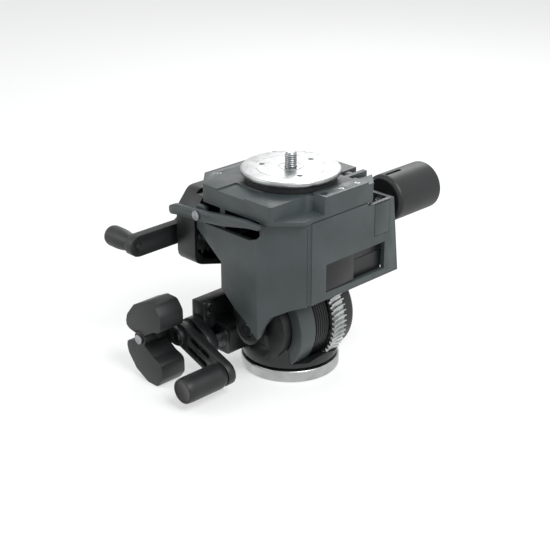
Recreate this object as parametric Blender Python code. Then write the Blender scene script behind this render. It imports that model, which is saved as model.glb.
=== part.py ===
"""Geared tripod head: pan, tilt and side lift, each moved by a crank or knob through a worm.

Metres, +Z up. The origin is the centre of the base disc's underside. The tilt axis runs along Y, the label side
of the casing faces +X, and the knob points along +Y.
"""

import bpy
import bmesh
from math import atan2, cos, pi, radians, sin, sqrt, tan
from mathutils import Matrix, Vector

mm = 0.001

# Clearances, walls and the overrun of every cut
gap = 0.3 * mm
running_gap = 0.3 * mm
overrun = 3.0 * mm
casing_wall = 3.6 * mm


def raised(points, height):
    """The points of an outline, each lifted by a height."""
    return [(along, up + height) for along, up in points]


# Base disc and pan bearing
base_radius = 40.0 * mm
base_thickness = 9.7 * mm
base_edge = 1.2 * mm
base_recess_depth = 1.0 * mm
base_recess_inner = 13.0 * mm
base_recess_outer = 34.0 * mm
tripod_thread_radius = 4.76 * mm
tripod_thread_depth = 7.0 * mm
washer_inner = 28.0 * mm
washer_outer = 37.0 * mm
washer_thickness = 1.5 * mm
post_radius = 8.0 * mm
post_seat_depth = 1.2 * mm
post_flange_radius = 12.0 * mm
post_flange_thickness = 3.0 * mm
post_thread_radius = 5.0 * mm
nut_across_flats = 15.0 * mm
nut_height = 3.2 * mm

# Pan worm wheel, fixed to the base, and the worm that climbs round it
pan_teeth = 24
pan_module = 2.0 * mm
pan_wheel_width = 10.0 * mm
pan_wheel_rise = 17.3 * mm
pan_wheel_height = base_thickness + pan_wheel_rise
pan_worm_radius = 7.0 * mm
pan_worm_length = 20.0 * mm
pan_shaft_radius = 3.4 * mm

# Tilt drum: rings on the housing's core, about the tilt axis
tilt_shaft_radius = 5.5 * mm
shaft_over_nut = 2.3 * mm
tilt_axis_height = pan_wheel_height + pan_wheel_width / 2 + nut_height + shaft_over_nut + tilt_shaft_radius
core_radius = 29.0 * mm
dome_radius = 38.7 * mm
dome_rise = 3.0 * mm
dome_height = tilt_axis_height + dome_rise
skirt_height = 5.0 * mm
skirt_top = 15.4 * mm
drum_front = -27.0 * mm
band_width = 16.0 * mm
band_radius = 39.4 * mm
band_edge = 0.8 * mm
core_front = -35.0 * mm
groove_ring_width = 16.7 * mm
groove_ring_radius = 38.0 * mm
groove_depth = 1.6 * mm
groove_count = 3
tilt_teeth = 60
tilt_pitch_radius = 41.3 * mm
tilt_wheel_width = 14.0 * mm
tilt_throat = 1.1 * mm
cheek_width = 14.0 * mm
cheek_radius = 39.0 * mm
cheek_round = 4.0 * mm
tilt_shaft_front = -48.0 * mm
tilt_shaft_back = 52.0 * mm
shaft_chamfer = 0.8 * mm

# Tilt worm and the three spur gears that bring the crank's turn to it
tilt_worm_radius = 5.5 * mm
tilt_worm_length = 22.0 * mm
tilt_worm_shaft_radius = 3.0 * mm
tilt_crank_y = -39.0 * mm
train_teeth = 12
train_width = 7.0 * mm
train_x = -61.0 * mm

# Worm box, crank bracket and gear cover on the pan housing
worm_box_front = -49.0 * mm
worm_box_back = 15.0 * mm
worm_box_wall = 3.0 * mm
worm_box_round = 4.0 * mm
worm_cap_thickness = 4.0 * mm
pan_crank_x = -44.0 * mm
pan_crank_rise = 7.0 * mm
pan_crank_height = pan_wheel_height + pan_crank_rise
bracket_width = 13.5 * mm
bracket_front = -60.0 * mm
bracket_back = -27.6 * mm
bracket_rise = 24.0 * mm
bracket_drop = 17.0 * mm
bracket_top = pan_crank_height + bracket_rise
bracket_bottom = pan_crank_height - bracket_drop
bracket_round = 2.0 * mm
bracket_screw_radius = 2.4 * mm
bracket_screw_head = 1.4 * mm
bracket_screw_shank = 1.4 * mm
bracket_screw_length = 5.0 * mm
bracket_screw_y = (-53.0 * mm, -53.0 * mm, -53.0 * mm)
bracket_screw_rises = (20.0 * mm, 12.0 * mm, -12.0 * mm)
pan_pair_teeth = 10
pan_pair_width = 5.0 * mm
pan_pair_front = -66.0 * mm
gear_cover_front = -69.0 * mm
gear_cover_back = -60.3 * mm
gear_cover_wall = 2.2 * mm
gear_room = 0.8 * mm
pan_crank_shaft_radius = 4.0 * mm
pan_crank_shaft_back = -30.0 * mm

# Pan crank, its spinning handle and the pinch levers
pan_arm_front = -79.0 * mm
pan_arm_thickness = 7.0 * mm
pan_arm_width = 20.0 * mm
arm_slot_radius = 2.4 * mm
arm_slot_shares = ((0.24, 0.40), (0.48, 0.64))
arm_slot_offset = 4.6 * mm
pan_handle_x = 3.0 * mm
pan_handle_drop = 17.0 * mm
pan_handle_height = pan_crank_height - pan_handle_drop
pan_handle_radius = 10.4 * mm
pan_handle_length = 39.0 * mm
handle_pin_radius = 3.0 * mm
handle_pin_head = 5.5 * mm
handle_round = 3.0 * mm
handle_cap_depth = 4.0 * mm
handle_cap_inset = 2.6 * mm
handle_wall = 2.2 * mm
pinch_front = -107.0 * mm
pinch_back = -84.0 * mm
pinch_pin_x = -60.0 * mm
pinch_pin_rise = 1.0 * mm
pinch_pin_height = pan_crank_height + pinch_pin_rise
pinch_pin_radius = 2.2 * mm
pinch_knuckle = 6.5 * mm
pinch_plate_radius = 7.5 * mm
pinch_plate_thickness = 3.8 * mm
pinch_round = 5.0 * mm
pinch_plate_front = -83.4 * mm
pinch_pin_head = 4.0 * mm
pinch_head_thickness = 1.6 * mm
socket_share = 0.5
pinch_upper_outline = raised([(-66.0 * mm, 3.5 * mm), (-78.0 * mm, 6.0 * mm), (-75.0 * mm, 17.0 * mm),
                              (-66.0 * mm, 28.0 * mm), (-52.0 * mm, 35.0 * mm), (-40.0 * mm, 35.0 * mm),
                              (-34.0 * mm, 27.0 * mm), (-34.0 * mm, 14.0 * mm), (-44.0 * mm, 11.0 * mm),
                              (-56.0 * mm, 3.5 * mm)], pinch_pin_height)

# Casing, the shell that tilts
casing_right = 52.0 * mm
casing_left = -48.0 * mm
casing_front = -56.0 * mm
casing_corner_y = -32.0 * mm
casing_crease_x = 20.0 * mm
casing_left_front_x = -20.0 * mm
casing_back = 62.0 * mm
casing_back_slant = 8.0 * mm
casing_height = 66.5 * mm
casing_over_axis = 32.5 * mm
casing_left_rise = 14.5 * mm
casing_back_drop = 2.5 * mm
casing_bottom = tilt_axis_height + casing_over_axis
casing_top = casing_bottom + casing_height
casing_left_bottom = casing_bottom + casing_left_rise
casing_back_top = casing_top - casing_back_drop
casing_back_cut_y = 32.0 * mm
casing_round = 2.5 * mm
casing_left_y = -30.0 * mm
leg_drop = 30.5 * mm
leg_tip_height = casing_bottom - leg_drop
front_arch = raised([(-20.0 * mm, 0.5 * mm), (-12.0 * mm, -6.5 * mm), (-4.0 * mm, -13.5 * mm),
                     (7.0 * mm, -19.5 * mm), (16.0 * mm, -27.5 * mm), (20.0 * mm, -30.5 * mm)], casing_bottom)
side_arch = raised([(23.0 * mm, -20.5 * mm), (28.0 * mm, -11.5 * mm), (40.0 * mm, -4.5 * mm),
                    (49.0 * mm, -1.0 * mm), (56.0 * mm, 0.0 * mm)], casing_bottom)
flare_outline = raised([(-18.0 * mm, 18.5 * mm), (-20.0 * mm, 22.5 * mm), (-33.0 * mm, 32.5 * mm),
                        (-47.0 * mm, 43.0 * mm), (-47.0 * mm, 62.5 * mm), (-37.0 * mm, 62.5 * mm),
                        (-37.0 * mm, 49.5 * mm), (-18.0 * mm, 49.5 * mm)], casing_bottom)
pocket_outline = raised([(-36.0 * mm, 74.5 * mm), (-36.0 * mm, 49.5 * mm), (12.0 * mm, 49.5 * mm),
                         (20.0 * mm, 52.5 * mm), (24.0 * mm, 58.5 * mm), (26.0 * mm, 74.5 * mm)], casing_bottom)
recess_front = -14.0 * mm
recess_back = 53.0 * mm
recess_rise = 6.0 * mm
recess_height = 23.0 * mm
recess_bottom = casing_bottom + recess_rise
recess_top = recess_bottom + recess_height
recess_depth = 1.8 * mm
plate_back = 18.0 * mm
plate_thickness = 1.2 * mm
corner_slot_width = 4.5 * mm
corner_slot_depth = 2.2 * mm
panel_front = 40.0 * mm
panel_back = 57.0 * mm
panel_height = 27.0 * mm
panel_drop = 3.0 * mm
panel_top = casing_top - panel_drop
panel_bottom = panel_top - panel_height
panel_thickness = 1.5 * mm

# Inner tilt frame
frame_arm_width = 24.0 * mm
frame_arm_thickness = 7.0 * mm
frame_plate_rise = 21.5 * mm
frame_plate_bottom = casing_bottom + frame_plate_rise
frame_plate_thickness = 5.0 * mm
frame_plate_half = 41.0 * mm
frame_lug_thickness = 4.0 * mm
frame_lug_radius = 6.5 * mm
frame_lug_x = 20.0 * mm
frame_hub_radius = 12.0 * mm
frame_plate_front = -48.0 * mm
frame_plate_back = 50.0 * mm
frame_side_gap = 1.0 * mm
frame_hole_radius = 14.0 * mm
bearing_front = 27.0 * mm
bearing_thickness = 5.0 * mm
bearing_half = 7.0 * mm
ear_thickness = 6.0 * mm
ear_radius = 8.0 * mm
ear_left_x = -30.0 * mm
ear_right_x = 18.0 * mm

# Gear case at the upper left, its crank and handle
gear_case_left = -70.0 * mm
gear_case_right = -49.0 * mm
gear_case_wall = 2.4 * mm
gear_case_front_wall = 4.0 * mm
gear_case_round = 9.0 * mm
tilt_crank_rise = 13.0 * mm
tilt_crank_height = casing_left_bottom + tilt_crank_rise
gear_case_outline = raised([(-57.0 * mm, -16.0 * mm), (-57.0 * mm, 27.0 * mm), (-44.0 * mm, 42.0 * mm),
                            (-6.0 * mm, 42.0 * mm), (15.0 * mm, 15.0 * mm), (32.5 * mm, -2.0 * mm),
                            (32.5 * mm, -25.0 * mm), (22.0 * mm, -32.5 * mm), (2.0 * mm, -32.5 * mm),
                            (-43.0 * mm, -20.0 * mm)], tilt_crank_height)
idler_pin_radius = 3.0 * mm
tilt_crank_shaft_radius = 4.0 * mm
train_hub = 6.0 * mm
tilt_boss_radius = 11.5 * mm
tilt_boss_length = 8.0 * mm
tilt_arm_thickness = 8.0 * mm
tilt_arm_width = 17.5 * mm
tilt_arm_reach = 50.0 * mm
tilt_handle_radius = 8.6 * mm
tilt_handle_length = 27.0 * mm
tilt_handle_neck = 6.4 * mm
tilt_handle_pin_radius = 2.6 * mm
lever_pin_drop = 10.5 * mm
lever_pin_height = casing_top - lever_pin_drop
lever_shape = raised([(-75.0 * mm, -7.5 * mm), (-66.0 * mm, -6.0 * mm), (-42.0 * mm, -4.5 * mm),
                      (-14.0 * mm, -1.0 * mm), (14.0 * mm, 5.0 * mm), (27.0 * mm, 6.5 * mm),
                      (27.0 * mm, 10.0 * mm), (12.0 * mm, 10.5 * mm), (-6.0 * mm, 9.0 * mm),
                      (-36.0 * mm, 5.0 * mm), (-68.0 * mm, 2.5 * mm),
                      (-75.0 * mm, -0.5 * mm)], lever_pin_height)
lever_round = 3.0 * mm
lever_slot_radius = 1.3 * mm
lever_back = -57.3 * mm
lever_thickness = 3.2 * mm
lever_pin_x = -42.0 * mm
lever_pin_radius = 2.0 * mm

# Platform slab, hinged at its knob end
slab_seam = 0.4 * mm
slab_thickness = 14.6 * mm
slab_bottom = casing_top + slab_seam
slab_top = slab_bottom + slab_thickness
slab_left = -57.0 * mm
slab_right = 51.5 * mm
slab_front = -56.0 * mm
slab_back = 56.0 * mm
slab_corner = 18.0 * mm
slab_notch_x = 33.0 * mm
slab_notch_back = 34.0 * mm
slab_notch_half = 3.6 * mm
sector_notch_half = 4.4 * mm
slab_round = 1.2 * mm
slab_floor = 3.0 * mm
channel_middle = -8.0 * mm
front_notch_x = (35.0 * mm, 60.0 * mm)
front_notch_y = (-60.0 * mm, -16.0 * mm)
front_notch_round = 5.0 * mm
channel_width = 30.0 * mm
channel_depth = 1.4 * mm
side_slab_x = (37.0 * mm, 51.5 * mm)
side_slab_y = (-15.0 * mm, 33.0 * mm)
side_slab_rise = 2.0 * mm
side_slab_top = slab_top + side_slab_rise
corner_hole_place = (44.0 * mm, -10.0 * mm)
corner_hole_radius = 3.2 * mm
corner_hole_depth = 9.0 * mm
slab_screw_places = [(45.5 * mm, 8.0 * mm), (45.5 * mm, 26.0 * mm), (-49.0 * mm, -30.0 * mm),
                     (-49.0 * mm, 10.0 * mm)]
slab_screw_radius = 2.4 * mm
slab_screw_depth = 3.2 * mm
slab_hook_x = (36.0 * mm, 42.0 * mm)
slab_hook_y = (-56.0 * mm, -48.0 * mm)
hinge_y = 44.0 * mm
hinge_rise = 6.1 * mm
hinge_height = slab_bottom + hinge_rise
hinge_pin_radius = 4.0 * mm
hinge_pin_left = -38.0 * mm
hinge_pin_right = 40.0 * mm

# Side lift worm, its sector and the knob
lift_teeth = 25
lift_module = 1.0 * mm
lift_sector_width = 7.0 * mm
lift_worm_x = 33.0 * mm
lift_worm_radius = 5.5 * mm
lift_worm_length = 16.0 * mm
lift_shaft_radius = 3.2 * mm
knob_front = 70.5 * mm
knob_back = 121.0 * mm
knob_radius = 19.5 * mm
knob_round = 8.0 * mm
knob_slot_radius = 1.8 * mm
knob_slot_depth = 1.6 * mm
knob_slot_y = (78.0 * mm, 92.0 * mm)
sector_hub_radius = 6.5 * mm
sector_reach = 30.0 * mm
sector_angles_share = (-104 / 360, 14 / 360)

# Top disc, its ring and the camera screw
ring_radius = 36.0 * mm
ring_inner = 12.0 * mm
ring_thickness = 4.3 * mm
ring_bottom = slab_top + gap
ring_top = ring_bottom + ring_thickness
disc_radius = 39.0 * mm
disc_thickness = 5.1 * mm
disc_top = ring_top + gap + disc_thickness
disc_bevel = 1.6 * mm
camera_screw_radius = 4.76 * mm
camera_screw_height = 12.0 * mm
camera_screw_head = 9.0 * mm
camera_screw_head_thickness = 3.0 * mm
set_screw_radius = 2.0 * mm
set_screw_circle = 23.0 * mm
set_screw_angles_share = (92 / 360, 212 / 360, 332 / 360)

round_sides = 16
small_sides = 10
ring_sides = 36

# Gear centres that follow from the teeth
pan_pitch_radius = pan_teeth * pan_module / 2
pan_worm_x = -(pan_pitch_radius + pan_worm_radius)
pan_pair_distance = sqrt((pan_worm_x - pan_crank_x) ** 2 + (pan_crank_height - pan_wheel_height) ** 2)
band_front = drum_front
groove_ring_front = band_front + band_width + gap
tilt_wheel_front = groove_ring_front + groove_ring_width + gap
tilt_wheel_middle = tilt_wheel_front + tilt_wheel_width / 2
cheek_front = tilt_wheel_front + tilt_wheel_width + gap
cheek_back = cheek_front + cheek_width
tilt_worm_height = tilt_axis_height + tilt_pitch_radius + tilt_worm_radius
lift_pitch_radius = lift_teeth * lift_module / 2
lift_worm_height = hinge_height - lift_pitch_radius - lift_worm_radius
pan_wheel_room = pan_pitch_radius + 2 * pan_module
worm_room_share = 1.2
pan_worm_room = pan_worm_radius + worm_room_share * pan_module
bracket_right = pan_crank_x + bracket_width / 2
tilt_module = 2 * tilt_pitch_radius / tilt_teeth
tilt_idler_y = (tilt_crank_y + tilt_wheel_middle) / 2
tilt_idler_height = (tilt_crank_height + tilt_worm_height) / 2
tilt_arm_left = gear_case_left - tilt_boss_length - tilt_arm_thickness
washer_bottom = base_thickness + gap
housing_bottom = washer_bottom + washer_thickness + gap
post_bottom = base_thickness - post_seat_depth + gap


def start_clean():
    for old in list(bpy.data.objects):
        bpy.data.objects.remove(old, do_unlink=True)


def paint(name, colour, roughness, metallic=0.0):
    """A Principled material with one colour."""
    material = bpy.data.materials.new(name)
    material.use_nodes = True
    shader = material.node_tree.nodes["Principled BSDF"]
    shader.inputs["Base Color"].default_value = (*colour, 1.0)
    shader.inputs["Roughness"].default_value = roughness
    shader.inputs["Metallic"].default_value = metallic
    material.diffuse_color = (*colour, 1.0)
    return material


class Body:
    """An empty on a joint's axis. Every piece that moves with it is its child."""

    def __init__(self, name, place, parent=None):
        self.place = Vector(place)
        self.empty = bpy.data.objects.new(name, None)
        bpy.context.scene.collection.objects.link(self.empty)
        if parent:
            self.empty.parent = parent.empty
            self.empty.location = self.place - parent.place
        else:
            self.empty.location = self.place


def solid(name, shape, material, body):
    """Makes a bmesh, drawn in world coordinates, an object of the body."""
    bmesh.ops.recalc_face_normals(shape, faces=shape.faces)
    mesh = bpy.data.meshes.new(name)
    shape.to_mesh(mesh)
    shape.free()
    mesh.transform(Matrix.Translation(-body.place))
    mesh.shade_smooth()
    mesh.set_sharp_from_angle(angle=radians(32))
    mesh.materials.append(material)
    made = bpy.data.objects.new(name, mesh)
    bpy.context.scene.collection.objects.link(made)
    made.parent = body.empty
    return made


def combine(piece, shape, operation):
    """Cuts the shape from the piece, or joins the two, with a Boolean that stays on the piece."""
    bmesh.ops.recalc_face_normals(shape, faces=shape.faces)
    mesh = bpy.data.meshes.new(piece.name + "_tool")
    shape.to_mesh(mesh)
    shape.free()
    tool = bpy.data.objects.new(piece.name + "_tool", mesh)
    tool.hide_render = True
    tool.display_type = "WIRE"
    bpy.context.scene.collection.objects.link(tool)
    step = piece.modifiers.new(operation.lower(), "BOOLEAN")
    step.operation = operation
    step.object = tool
    step.solver = "EXACT"


def cut(piece, *shapes):
    for shape in shapes:
        combine(piece, shape, "DIFFERENCE")


def join(piece, *shapes):
    for shape in shapes:
        combine(piece, shape, "UNION")


def on_axis(axis, along, u, v):
    """A point from its place along an axis and its two places across it, which are the next axes in X, Y, Z order
    for X (y, z) and Z (x, y), and (x, z) for Y."""
    if axis == "X":
        return Vector((along, u, v))
    if axis == "Y":
        return Vector((u, along, v))
    return Vector((u, v, along))


def prism(outline, axis, low, high):
    """An outline drawn across the axis, carried along it from low to high."""
    shape = bmesh.new()
    bottom = [shape.verts.new(on_axis(axis, low, u, v)) for u, v in outline]
    top = [shape.verts.new(on_axis(axis, high, u, v)) for u, v in outline]
    shape.faces.new(bottom)
    shape.faces.new(top)
    count = len(outline)
    for i in range(count):
        j = (i + 1) % count
        shape.faces.new((bottom[i], bottom[j], top[j], top[i]))
    bmesh.ops.recalc_face_normals(shape, faces=shape.faces)
    return shape


def box(x, y, z):
    """A block between pairs of places."""
    return prism([(x[0], y[0]), (x[1], y[0]), (x[1], y[1]), (x[0], y[1])], "Z", z[0], z[1])


def rounded(points, radius, steps=4):
    """The outline with each corner turned into an arc of the radius, or of as much as its sides allow.
    A point may carry its own radius as a third value."""
    outline = []
    count = len(points)
    for i, point in enumerate(points):
        here = Vector(point[:2])
        before = Vector(points[i - 1][:2]) - here
        after = Vector(points[(i + 1) % count][:2]) - here
        wanted = point[2] if len(point) > 2 else radius
        if wanted <= 0:
            outline.append(tuple(here))
            continue
        half = before.angle(after) / 2
        reach = min(wanted / tan(half), before.length * 0.45, after.length * 0.45)
        arc = reach * tan(half)
        middle = here + (before.normalized() + after.normalized()).normalized() * (arc / sin(half))
        first = here + before.normalized() * reach - middle
        last = here + after.normalized() * reach - middle
        turn = atan2(first.x * last.y - first.y * last.x, first.dot(last))
        for k in range(steps + 1):
            angle = turn * k / steps
            outline.append(tuple(middle + Vector((first.x * cos(angle) - first.y * sin(angle),
                                                  first.x * sin(angle) + first.y * cos(angle)))))
    return outline


def circle(centre, radius, sides):
    return [(centre[0] + radius * cos(2 * pi * i / sides), centre[1] + radius * sin(2 * pi * i / sides))
            for i in range(sides)]


def rod(axis, centre, radius, low, high, sides=small_sides):
    return prism(circle(centre, radius, sides), axis, low, high)


def rings_to_shape(rings, closed):
    """Joins rings of points, each all the way round. Closed rings meet end to end, as round a bore; otherwise the
    first and last rings are capped."""
    shape = bmesh.new()
    rows = [[shape.verts.new(point) for point in ring] for ring in rings]
    count = len(rows[0])
    pairs = list(zip(rows, rows[1:]))
    if closed:
        pairs.append((rows[-1], rows[0]))
    else:
        shape.faces.new(rows[0])
        shape.faces.new(rows[-1])
    for near, far in pairs:
        for i in range(count):
            j = (i + 1) % count
            shape.faces.new((near[i], near[j], far[j], far[i]))
    bmesh.ops.recalc_face_normals(shape, faces=shape.faces)
    return shape


def turned(profile, axis, centre=(0, 0), sides=round_sides, closed=False):
    """A profile of (radius, place along the axis) turned round the axis."""
    rings = []
    for radius, along in profile:
        rings.append([on_axis(axis, along, u, v) for u, v in circle(centre, radius, sides)])
    return rings_to_shape(rings, closed)


def tooth_outline(teeth, root, tip, turn, tip_share, root_share, centre):
    """A gear's outline: each tooth has two points at its tip and two at its root. The turn is an angle."""
    points = []
    for tooth in range(teeth):
        middle = (tooth + turn * teeth / (2 * pi)) * 2 * pi / teeth
        for radius, share in ((root, -root_share), (tip, -tip_share), (tip, tip_share), (root, root_share)):
            angle = middle + share * 2 * pi / teeth
            points.append((centre[0] + radius * cos(angle), centre[1] + radius * sin(angle)))
    return points


gear_tip_share = 0.11
gear_root_share = 0.31
addendum_share = 0.75
dedendum_share = 1.12


def gear(axis, centre, teeth, pitch_radius, low, high, bore, turn=0.0):
    """A spur gear with a bore."""
    module = 2 * pitch_radius / teeth
    tip = pitch_radius + addendum_share * module
    root = pitch_radius - dedendum_share * module
    outline = tooth_outline(teeth, root, tip, turn, gear_tip_share, gear_root_share, centre)
    hole = circle(centre, bore, len(outline))
    start = atan2(outline[0][1] - centre[1], outline[0][0] - centre[0])
    hole = [(centre[0] + bore * cos(start + 2 * pi * i / len(outline)),
             centre[1] + bore * sin(start + 2 * pi * i / len(outline))) for i in range(len(outline))]
    rings = [[on_axis(axis, low, u, v) for u, v in hole], [on_axis(axis, low, u, v) for u, v in outline],
             [on_axis(axis, high, u, v) for u, v in outline], [on_axis(axis, high, u, v) for u, v in hole]]
    return rings_to_shape(rings, True)


def worm(axis, centre, radius, module, middle, length, hand, phase, before, after, sides=12):
    """A shaft with one thread. The rows of points follow the helix, so each flank is exact, and they are held
    at the thread's two ends. Hand is 1 for a right-hand thread. Phase is the share of a turn by which the groove
    stands off from the first side. Before and after are the (radius, place) rings of the plain shaft."""
    pitch = pi * module
    tip = radius + addendum_share * module
    root = radius - dedendum_share * module
    low = middle - length / 2
    high = middle + length / 2
    thread_shares = ((0.18, root), (0.38, tip), (0.62, tip), (0.82, root))
    turns_before = int(length / pitch) + 3
    rows = []
    for turn in range(-turns_before, turns_before + 1):
        for share, size in thread_shares:
            rows.append((turn + share, size))
    grid = []
    for side in range(sides):
        angle = 2 * pi * side / sides
        column = [on_axis(axis, along, centre[0] + size * cos(angle), centre[1] + size * sin(angle))
                  for size, along in before]
        for share, size in rows:
            along = middle + pitch * (share + hand * (side / sides - phase))
            held = min(max(along, low), high)
            size = size if low < along < high else root
            column.append(on_axis(axis, held, centre[0] + size * cos(angle), centre[1] + size * sin(angle)))
        column += [on_axis(axis, along, centre[0] + size * cos(angle), centre[1] + size * sin(angle))
                   for size, along in after]
        grid.append(column)
    shape = bmesh.new()
    verts = [[shape.verts.new(point) for point in column] for column in grid]
    count = len(grid[0])
    plain_before = len(before)
    plain_after = len(after)
    step = hand * len(thread_shares)
    for side in range(sides):
        here = verts[side]
        there = verts[(side + 1) % sides]
        wraps = side == sides - 1
        for row in range(count - 1):
            def across(index):
                if wraps and plain_before <= index < count - plain_after:
                    moved = min(max(index + step, plain_before), count - plain_after - 1)
                    return there[moved]
                return there[index]
            corners = []
            for vert in (here[row], across(row), across(row + 1), here[row + 1]):
                if vert not in corners:
                    corners.append(vert)
            if len(corners) > 2:
                shape.faces.new(corners)
    shape.faces.new([column[0] for column in verts])
    shape.faces.new([column[-1] for column in verts])
    bmesh.ops.remove_doubles(shape, verts=shape.verts, dist=gap / 100)
    bmesh.ops.dissolve_degenerate(shape, dist=gap / 100, edges=shape.edges)
    return shape


def worm_wheel(axis, centre, teeth, pitch_radius, middle, width, bore, slope, throat=0.0, turn=0.0, rows=2):
    """A worm's wheel. Its teeth lie at the thread's slope, and its rim rises by the throat at both sides."""
    module = 2 * pitch_radius / teeth
    tip = pitch_radius + addendum_share * module
    root = pitch_radius - dedendum_share * module
    rings = []
    count = teeth * 4
    start = turn - gear_root_share * 2 * pi / teeth
    for along in (middle - width / 2, middle + width / 2):
        rings.append([on_axis(axis, along, centre[0] + bore * cos(start + 2 * pi * i / count),
                              centre[1] + bore * sin(start + 2 * pi * i / count)) for i in range(count)])
    rims = []
    for row in range(rows + 1):
        side = 2 * row / rows - 1
        along = middle + side * width / 2
        rise = throat * side * side
        outline = tooth_outline(teeth, root + rise, tip + rise, turn + slope * (along - middle) / pitch_radius,
                                gear_tip_share, gear_root_share, centre)
        rims.append([on_axis(axis, along, u, v) for u, v in outline])
    return rings_to_shape([rings[0]] + rims + [rings[1]], True)


def curve_points(start, control, end, steps=8):
    """Points along a curve that leaves the start for the control point and arrives at the end."""
    points = []
    for i in range(steps + 1):
        t = i / steps
        points.append(((1 - t) ** 2 * start[0] + 2 * t * (1 - t) * control[0] + t * t * end[0],
                       (1 - t) ** 2 * start[1] + 2 * t * (1 - t) * control[1] + t * t * end[1]))
    return points


def slot_outline(first, last, radius, steps=5):
    """A round-ended outline about the line from first to last."""
    direction = atan2(last[1] - first[1], last[0] - first[0])
    outline = []
    for centre, start in ((last, direction - pi / 2), (first, direction + pi / 2)):
        for i in range(steps + 1):
            angle = start + pi * i / steps
            outline.append((centre[0] + radius * cos(angle), centre[1] + radius * sin(angle)))
    return outline


def loft(low_outline, high_outline, low, high):
    """A block whose outline changes evenly with height."""
    return rings_to_shape([[(x, y, low) for x, y in low_outline], [(x, y, high) for x, y in high_outline]], False)


start_clean()

black = paint("black_paint", (0.035, 0.04, 0.042), 0.42)
plastic = paint("black_plastic", (0.045, 0.05, 0.052), 0.5)
slate = paint("slate_paint", (0.11, 0.135, 0.137), 0.45)
silver = paint("machined_aluminium", (0.78, 0.79, 0.79), 0.28, 1.0)
steel = paint("steel", (0.62, 0.63, 0.64), 0.25, 1.0)
bronze = paint("bronze", (0.55, 0.40, 0.22), 0.35, 1.0)
rubber = paint("dark_ring", (0.02, 0.02, 0.02), 0.8)

base = Body("base", (0, 0, 0))
pan = Body("pan_axis", (0, 0, housing_bottom), base)
pan_worm = Body("pan_worm_axis", (pan_worm_x, worm_box_front, pan_wheel_height), pan)
pan_crank = Body("pan_crank_axis", (pan_crank_x, pan_arm_front, pan_crank_height), pan)
pan_grip = Body("pan_grip_axis", (pan_handle_x, pan_arm_front, pan_handle_height), pan_crank)
pinch_upper = Body("pinch_upper_axis", (pinch_pin_x, pinch_front, pinch_pin_height), pan_crank)
pinch_lower = Body("pinch_lower_axis", (pinch_pin_x, pinch_front, pinch_pin_height), pan_crank)
tilt = Body("tilt_axis", (0, 0, tilt_axis_height), pan)
tilt_worm = Body("tilt_worm_axis", (0, tilt_wheel_middle, tilt_worm_height), tilt)
tilt_idler = Body("tilt_idler_axis", (train_x, tilt_idler_y, tilt_idler_height), tilt)
tilt_crank = Body("tilt_crank_axis", (gear_case_left, tilt_crank_y, tilt_crank_height), tilt)
tilt_grip = Body("tilt_grip_axis", (tilt_arm_left, tilt_crank_y - tilt_arm_reach, tilt_crank_height), tilt_crank)
release_lever = Body("release_lever_axis", (lever_pin_x, lever_back, lever_pin_height), tilt)
platform = Body("platform_hinge_axis", (0, hinge_y, hinge_height), tilt)
lift_knob = Body("lift_knob_axis", (lift_worm_x, knob_front, lift_worm_height), tilt)


def base_pieces():
    tiny = gap / 100
    profile = [(tiny, tripod_thread_depth), (tripod_thread_radius, tripod_thread_depth), (tripod_thread_radius, 0),
               (base_recess_inner, 0), (base_recess_inner, base_recess_depth),
               (base_recess_outer, base_recess_depth), (base_recess_outer, 0), (base_radius - base_edge, 0),
               (base_radius, base_edge), (base_radius, base_thickness - base_edge),
               (base_radius - base_edge, base_thickness), (post_flange_radius + gap, base_thickness),
               (post_flange_radius + gap, base_thickness - post_seat_depth),
               (tiny, base_thickness - post_seat_depth)]
    solid("base_disc", turned(profile, "Z", sides=ring_sides), silver, base)

    washer = [(washer_inner, washer_bottom), (washer_outer, washer_bottom),
              (washer_outer, washer_bottom + washer_thickness), (washer_inner, washer_bottom + washer_thickness)]
    solid("thrust_washer", turned(washer, "Z", closed=True), bronze, base)

    wheel_low = pan_wheel_height - pan_wheel_width / 2
    wheel_high = pan_wheel_height + pan_wheel_width / 2
    post_top = wheel_high + gap + nut_height + gap
    post = [(post_flange_radius, post_bottom), (post_flange_radius, post_bottom + post_flange_thickness),
            (post_radius, wheel_low - 2 * gap), (post_radius, wheel_high),
            (post_thread_radius - gap, wheel_high), (post_thread_radius - gap, post_top)]
    solid("pivot_post", turned(post, "Z", sides=small_sides), steel, base)
    corner = nut_across_flats / sqrt(3)
    nut_low = wheel_high + gap
    rings = [(post_thread_radius * 2 / sqrt(3), nut_low), (corner, nut_low), (corner, nut_low + nut_height),
             (post_thread_radius * 2 / sqrt(3), nut_low + nut_height)]
    nut = rings_to_shape([[on_axis("Z", along, u, v) for u, v in circle((0, 0), radius, 6)]
                          for radius, along in rings], True)
    solid("post_nut", nut, steel, base)
    slope = -pan_module / (2 * pan_worm_radius)
    wheel = worm_wheel("Z", (0, 0), pan_teeth, pan_pitch_radius, pan_wheel_height, pan_wheel_width,
                       post_radius + gap, slope, rows=1)
    solid("pan_worm_wheel", wheel, bronze, base)


def pan_hollows():
    """The room for the pan wheel and its nut, and the pan worm's bore, cut from all that lies round them."""
    wheel_high = pan_wheel_height + pan_wheel_width / 2
    nut_room = nut_across_flats / sqrt(3) + gap
    return [turned([(pan_wheel_room, housing_bottom - overrun), (pan_wheel_room, wheel_high + gap),
                    (nut_room, wheel_high + gap), (nut_room, wheel_high + nut_height + 3 * gap)], "Z"),
            rod("Y", (pan_worm_x, pan_wheel_height), pan_worm_room, worm_box_front - overrun,
                worm_box_back - worm_box_wall, round_sides)]


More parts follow.
